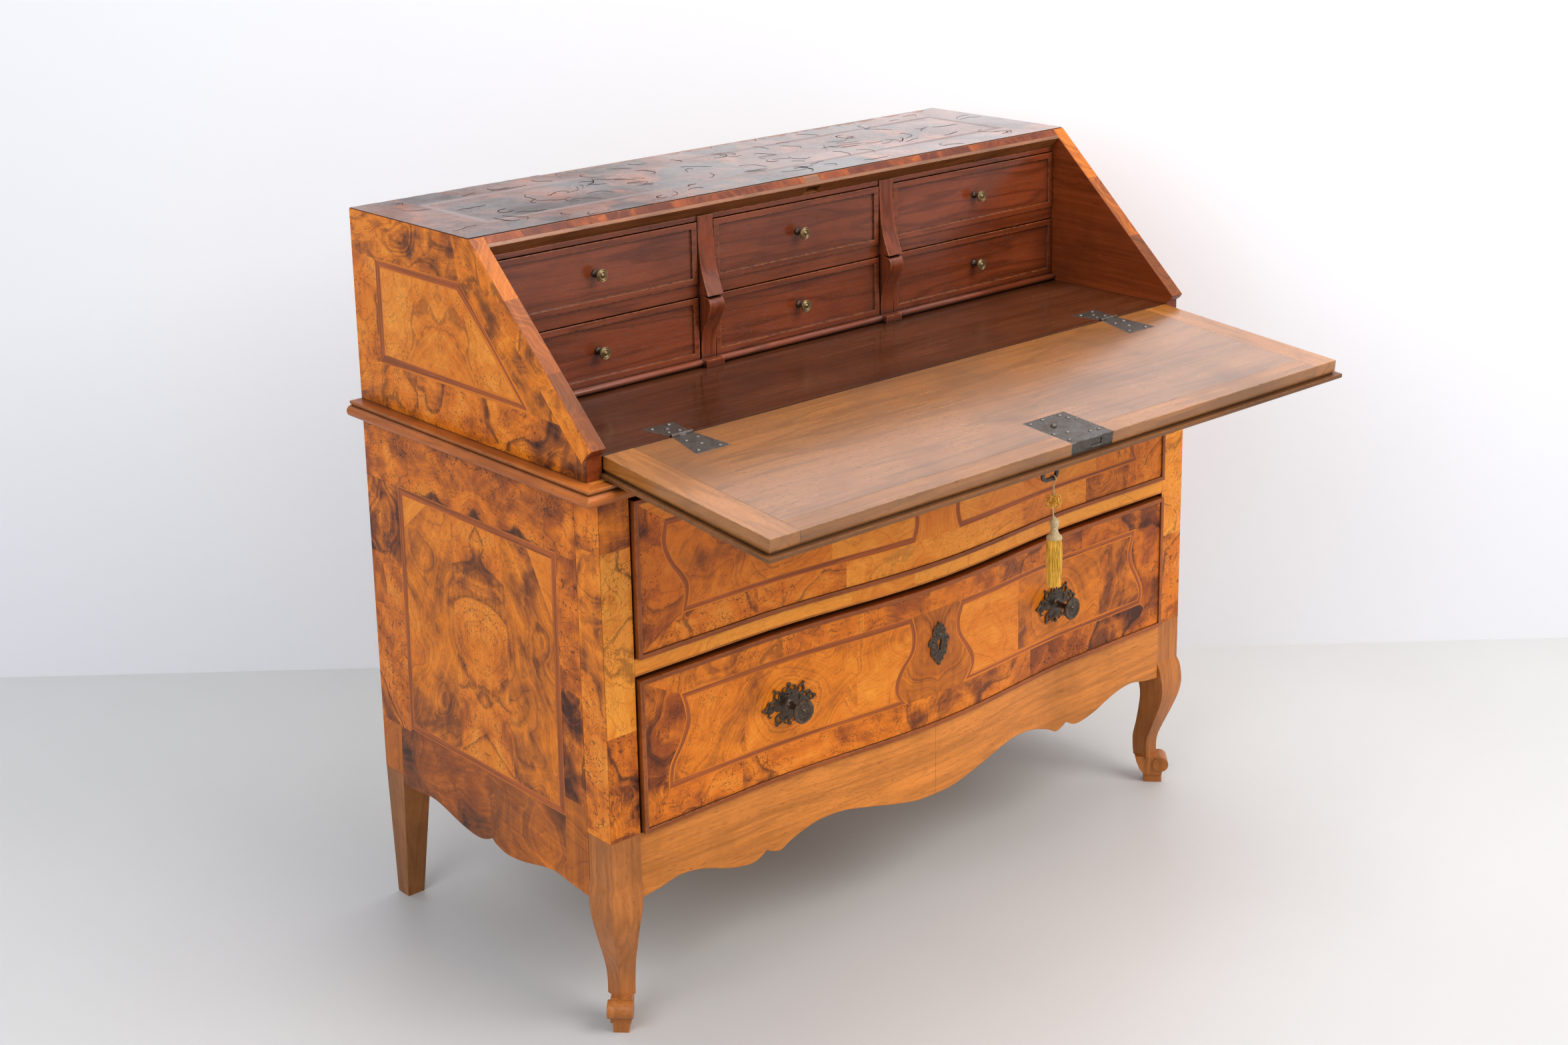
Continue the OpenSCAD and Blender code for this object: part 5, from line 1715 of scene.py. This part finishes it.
# Turned pieces: radius, height.
PULL_STEM = [(3.8, -22), (3.8, 1.0), (7.6, 1.2), (8.0, 3.4), (6.8, 4.8), (5.2, 6.4), (4.2, 10),
             (3.9, 18), (4.4, 24), (5.6, 28), (6.2, 30.2)]
PULL_DISC = [(6.0, 29.9), (12, 30.3), (16.4, 32.0), (17, 33.2), (17, 34.4), (16.2, 35.4),
             (15.0, 35.5), (14.5, 34.9), (13.6, 34.9), (13.1, 35.5), (10.6, 35.2), (10.1, 34.7),
             (9.3, 34.7), (8.8, 35.3), (6.6, 35.6), (6.1, 35.1), (5.4, 35.2), (4.8, 36.0),
             (3.6, 36.6), (2.6, 37.4), (1.4, 37.9)]
KNOB = [(3.0, -13), (3.0, 0.3), (5.2, 0.4), (5.4, 1.4), (4.0, 2.6), (3.2, 4.2), (3.0, 8.6),
        (4.6, 11.4), (8.2, 14.4), (9.2, 15.6), (9.2, 16.8), (8.6, 17.8), (7.9, 17.7), (7.4, 17.0),
        (6.6, 17.0), (6.1, 18.0), (4.9, 18.1), (4.4, 17.3), (3.5, 17.4), (2.6, 18.7), (1.1, 19.4)]
KNOB_NECK = 13  # up to here the knob is bronze, and brass beyond
KEYHOLE_EDGE = [(0, 35.4), (4, 31), (4, 27), (9, 25), (14, 20), (12, 14), (17, 12), (22.4, 5),
                (20, -2), (15, -4), (18, -10), (16, -17), (10, -19), (10, -25), (5, -27),
                (4, -32), (0, -35.4)]
KEYHOLE_SCROLLS = (
    (5, 24, 6.0, 1.8, -120, 170, 1.3), (9, 17, 5.4, 1.6, 160, -130, 1.3),
    (14.5, 6, 6.6, 2.0, -150, 140, 1.4), (12, -8, 5.8, 1.6, 150, -140, 1.3),
    (10, -15, 5.2, 1.6, -170, 110, 1.2), (4.5, -24, 4.6, 1.4, 140, -150, 1.1),
)


def drawer_pull():
    """Plate, waisted stem and ringed disc of one pull, in the pull's own frame."""
    parts = [pad(*row) for row in PULL_MIDDLE]
    for side in (-1, 1):
        parts += [pad(side * x, *row) for x, *row in PULL_PADS]
    plate = cast(parts + scroll_pair(PULL_SCROLLS, 0.75))
    return join([plate, turned(PULL_STEM, 28), turned(PULL_DISC, 40)])


def keyhole_plate():
    """The cast keyhole plate of a drawer, in its own frame."""
    half = spline(KEYHOLE_EDGE, 3)
    outline = half + [(-x, y) for x, y in reversed(half[1:-1])]
    lay_down()
    bpy.ops.mesh.primitive_circle_add(vertices=len(outline), radius=0.02, fill_type="NGON")
    base = bpy.context.object
    for v, (x, y) in zip(base.data.vertices, outline):
        v.co = (x * 0.94 / 1000, y * 0.94 / 1000, 0.0001)
    bench(base)
    bpy.ops.mesh.extrude_region_move(TRANSFORM_OT_translate={"value": (0, 0, 0.0015)})
    true_up(base)
    parts = [base, pad(0, 1, 9.5, 0.2, 2.4, 1.25)]
    parts += scroll_pair(KEYHOLE_SCROLLS, 0.7, 1.7)
    for k in range(18):
        a = 2 * math.pi * k / 18
        parts.append(pad(10.6 * math.cos(a), 1 + 13.0 * math.sin(a), 1.1, 1.0, 2.9))
    parts += [pad(0, 30.5, 2.6, 0.2, 2.8), pad(0, -30, 2.4, 0.2, 2.8)]
    plate = cast(parts, 0.0006, 0.4)
    lay_down()
    bpy.ops.mesh.primitive_cylinder_add(
        vertices=24, radius=0.0042, depth=0.02, location=(0, 0.003, 0)
    )
    bore = bpy.context.object
    bpy.ops.mesh.primitive_cube_add(size=1, location=(0, -0.0035, 0))
    slot = bpy.context.object
    slot.scale = (0.0044, 0.012, 0.02)
    for cutter in (bore, slot):
        set_in(cutter)
        press(plate, "BOOLEAN", operation="DIFFERENCE", solver="EXACT", object=cutter)
        bpy.data.objects.remove(cutter)
    return plate


def facing_out(x, d, z, turn=0.0):
    """A frame standing on the front: its z out of the face, its y up."""
    return (
        Matrix.Translation(at(x, d, z)) @ Matrix.Rotation(turn, 4, "Z")
        @ Matrix.Rotation(math.pi / 2, 4, "X")
    )


class DESK_OT_fittings(bpy.types.Operator):
    """Casts the drawer pulls and keyhole plates, and turns the small knobs"""

    bl_idname = "desk.fittings"
    bl_label = "Pulls, plates and knobs"

    def execute(self, context):
        pull, plate, knob = drawer_pull(), keyhole_plate(), turned(KNOB, 32)
        slope = math.atan(BOW * math.pi / 2 / BOW_HALF * math.sin(math.pi * PULL_X / BOW_HALF))
        face_d = FRONT_D + FIELD_PROUD
        for drawer, z in (("lower", LOWER_PLAN["pull"]), ("upper", UPPER_PLAN["pull"])):
            body = drawer + "_drawer"
            pair = join([
                copy_of(pull, facing_out(side * PULL_X, face_d + bow_at(PULL_X), z, side * slope))
                for side in (-1, 1)
            ])
            keyhole = copy_of(plate, facing_out(0, face_d + BOW + LIFT, z + KEY_RISE))
            for made, name, node in (
                (pair, "_pull_castings", "_pulls"), (keyhole, "_keyhole_casting", "_escutcheon")
            ):
                finish(made, drawer + name, body, ["bronze"], [body + node], 50)
        for cell, (x, z) in NEST.items():
            made = copy_of(knob, facing_out(x, NEST_D, z))
            finish(
                made, "turned_knob_" + cell, "small_drawer_" + cell,
                ["brass", "bronze"], ["knob_" + cell], 50,
            )
            neck_end = at(x, NEST_D + KNOB_NECK, z).y
            for face in made.data.polygons:
                if face.center.y > neck_end:
                    face.material_index = 1
        for used in (pull, plate, knob):
            bpy.data.objects.remove(used)
        return {"FINISHED"}


def nails(points, place, radius=3.2, rise=1.7):
    """Hammered nail heads at points of a face given by place(x, u, t)."""
    heads = []
    shaker = random.Random(5)
    for x, u in points:
        lay_down()
        bpy.ops.mesh.primitive_uv_sphere_add(segments=12, ring_count=8, radius=0.001)
        head = bpy.context.object
        size = radius * shaker.uniform(0.85, 1.15)
        head.scale = (size, size * shaker.uniform(0.85, 1.1), rise)
        set_in(head)
        for v in head.data.vertices:
            v.co.z += 0.00012 * math.sin(v.co.x * 2600 + x)
            v.co = place(x + v.co.x * 1000, u + v.co.y * 1000, -v.co.z * 1000)
        true_up(head)
        heads.append(head)
    return join(heads)


LOCK_NAILS = [(8, 236), (40, 238), (43, 250), (50, 259), (-19, 281), (2, 286), (-17, 306),
              (45, 302), (-18, 239), (30, 300)]


class DESK_OT_ironwork(bpy.types.Operator):
    """Nails down the hinges and the lock of the fall"""

    bl_idname = "desk.ironwork"
    bl_label = "Nails and stud"

    def execute(self, context):
        def on_both(points):
            return [(side * HINGE_X + x, u) for side in (-1, 1) for x, u in points]

        def on_desk(x, u, t):
            return at(x, HINGE_D + u, HINGE_Z - t)

        fall_nails = LOCK_NAILS + on_both([(-18, 56), (16, 58), (0, 40), (-10, 22), (11, 20)])
        desk_nails = on_both([(-15, -42), (14, -44), (0, -30), (-8, -16), (9, -15)])
        for name, body, heads in (
            ("fall_nails", "fall", nails(fall_nails, on_fall)),
            ("lock_stud", "fall", nails([(3, 261)], on_fall, 4.0, 4.2)),
            ("desk_nails", "case", nails(desk_nails, on_desk)),
        ):
            finish(heads, name, body, ["nail_iron"])
        return {"FINISHED"}


# Panel

STEPS = (
    DESK_OT_finishes, DESK_OT_stage, DESK_OT_tassel, DESK_OT_drawer_veneers,
    DESK_OT_side_veneers, DESK_OT_edge_veneers, DESK_OT_front_veneers, DESK_OT_top_veneer,
    DESK_OT_top_cracks, DESK_OT_fall_veneer, DESK_OT_fittings, DESK_OT_ironwork,
)
GROUPS = {
    "desk_veneer": DESK_veneer_settings,
    "desk_timber": DESK_timber_settings,
    "desk_fittings": DESK_fitting_settings,
    "desk_stage": DESK_stage_settings,
}


class DESK_PT_panel(bpy.types.Panel):
    """Lists the steps that dress the desk"""

    bl_label = "Slant-Front Desk"
    bl_idname = "DESK_PT_panel"
    bl_space_type = "VIEW_3D"
    bl_region_type = "UI"
    bl_category = "Desk"

    def draw(self, context):
        for made in STEPS:
            self.layout.operator(made.bl_idname)
        for group in GROUPS:
            box = self.layout.box()
            box.label(text=group.replace("desk_", "").title())
            settings = getattr(context.scene, group)
            for key in settings.bl_rna.properties.keys():
                if key not in ("rna_type", "name"):
                    box.prop(settings, key)


def register():
    for name, group in GROUPS.items():
        bpy.utils.register_class(group)
        setattr(bpy.types.Scene, name, bpy.props.PointerProperty(type=group))
    for made in STEPS + (DESK_PT_panel,):
        bpy.utils.register_class(made)


def unregister():
    for made in reversed(STEPS + (DESK_PT_panel,)):
        bpy.utils.unregister_class(made)
    for name, group in GROUPS.items():
        delattr(bpy.types.Scene, name)
        bpy.utils.unregister_class(group)


def main():
    register()
    lay_down()
    for made in STEPS:
        group, name = made.bl_idname.split(".")
        getattr(getattr(bpy.ops, group), name)()


if __name__ == "__main__":
    main()
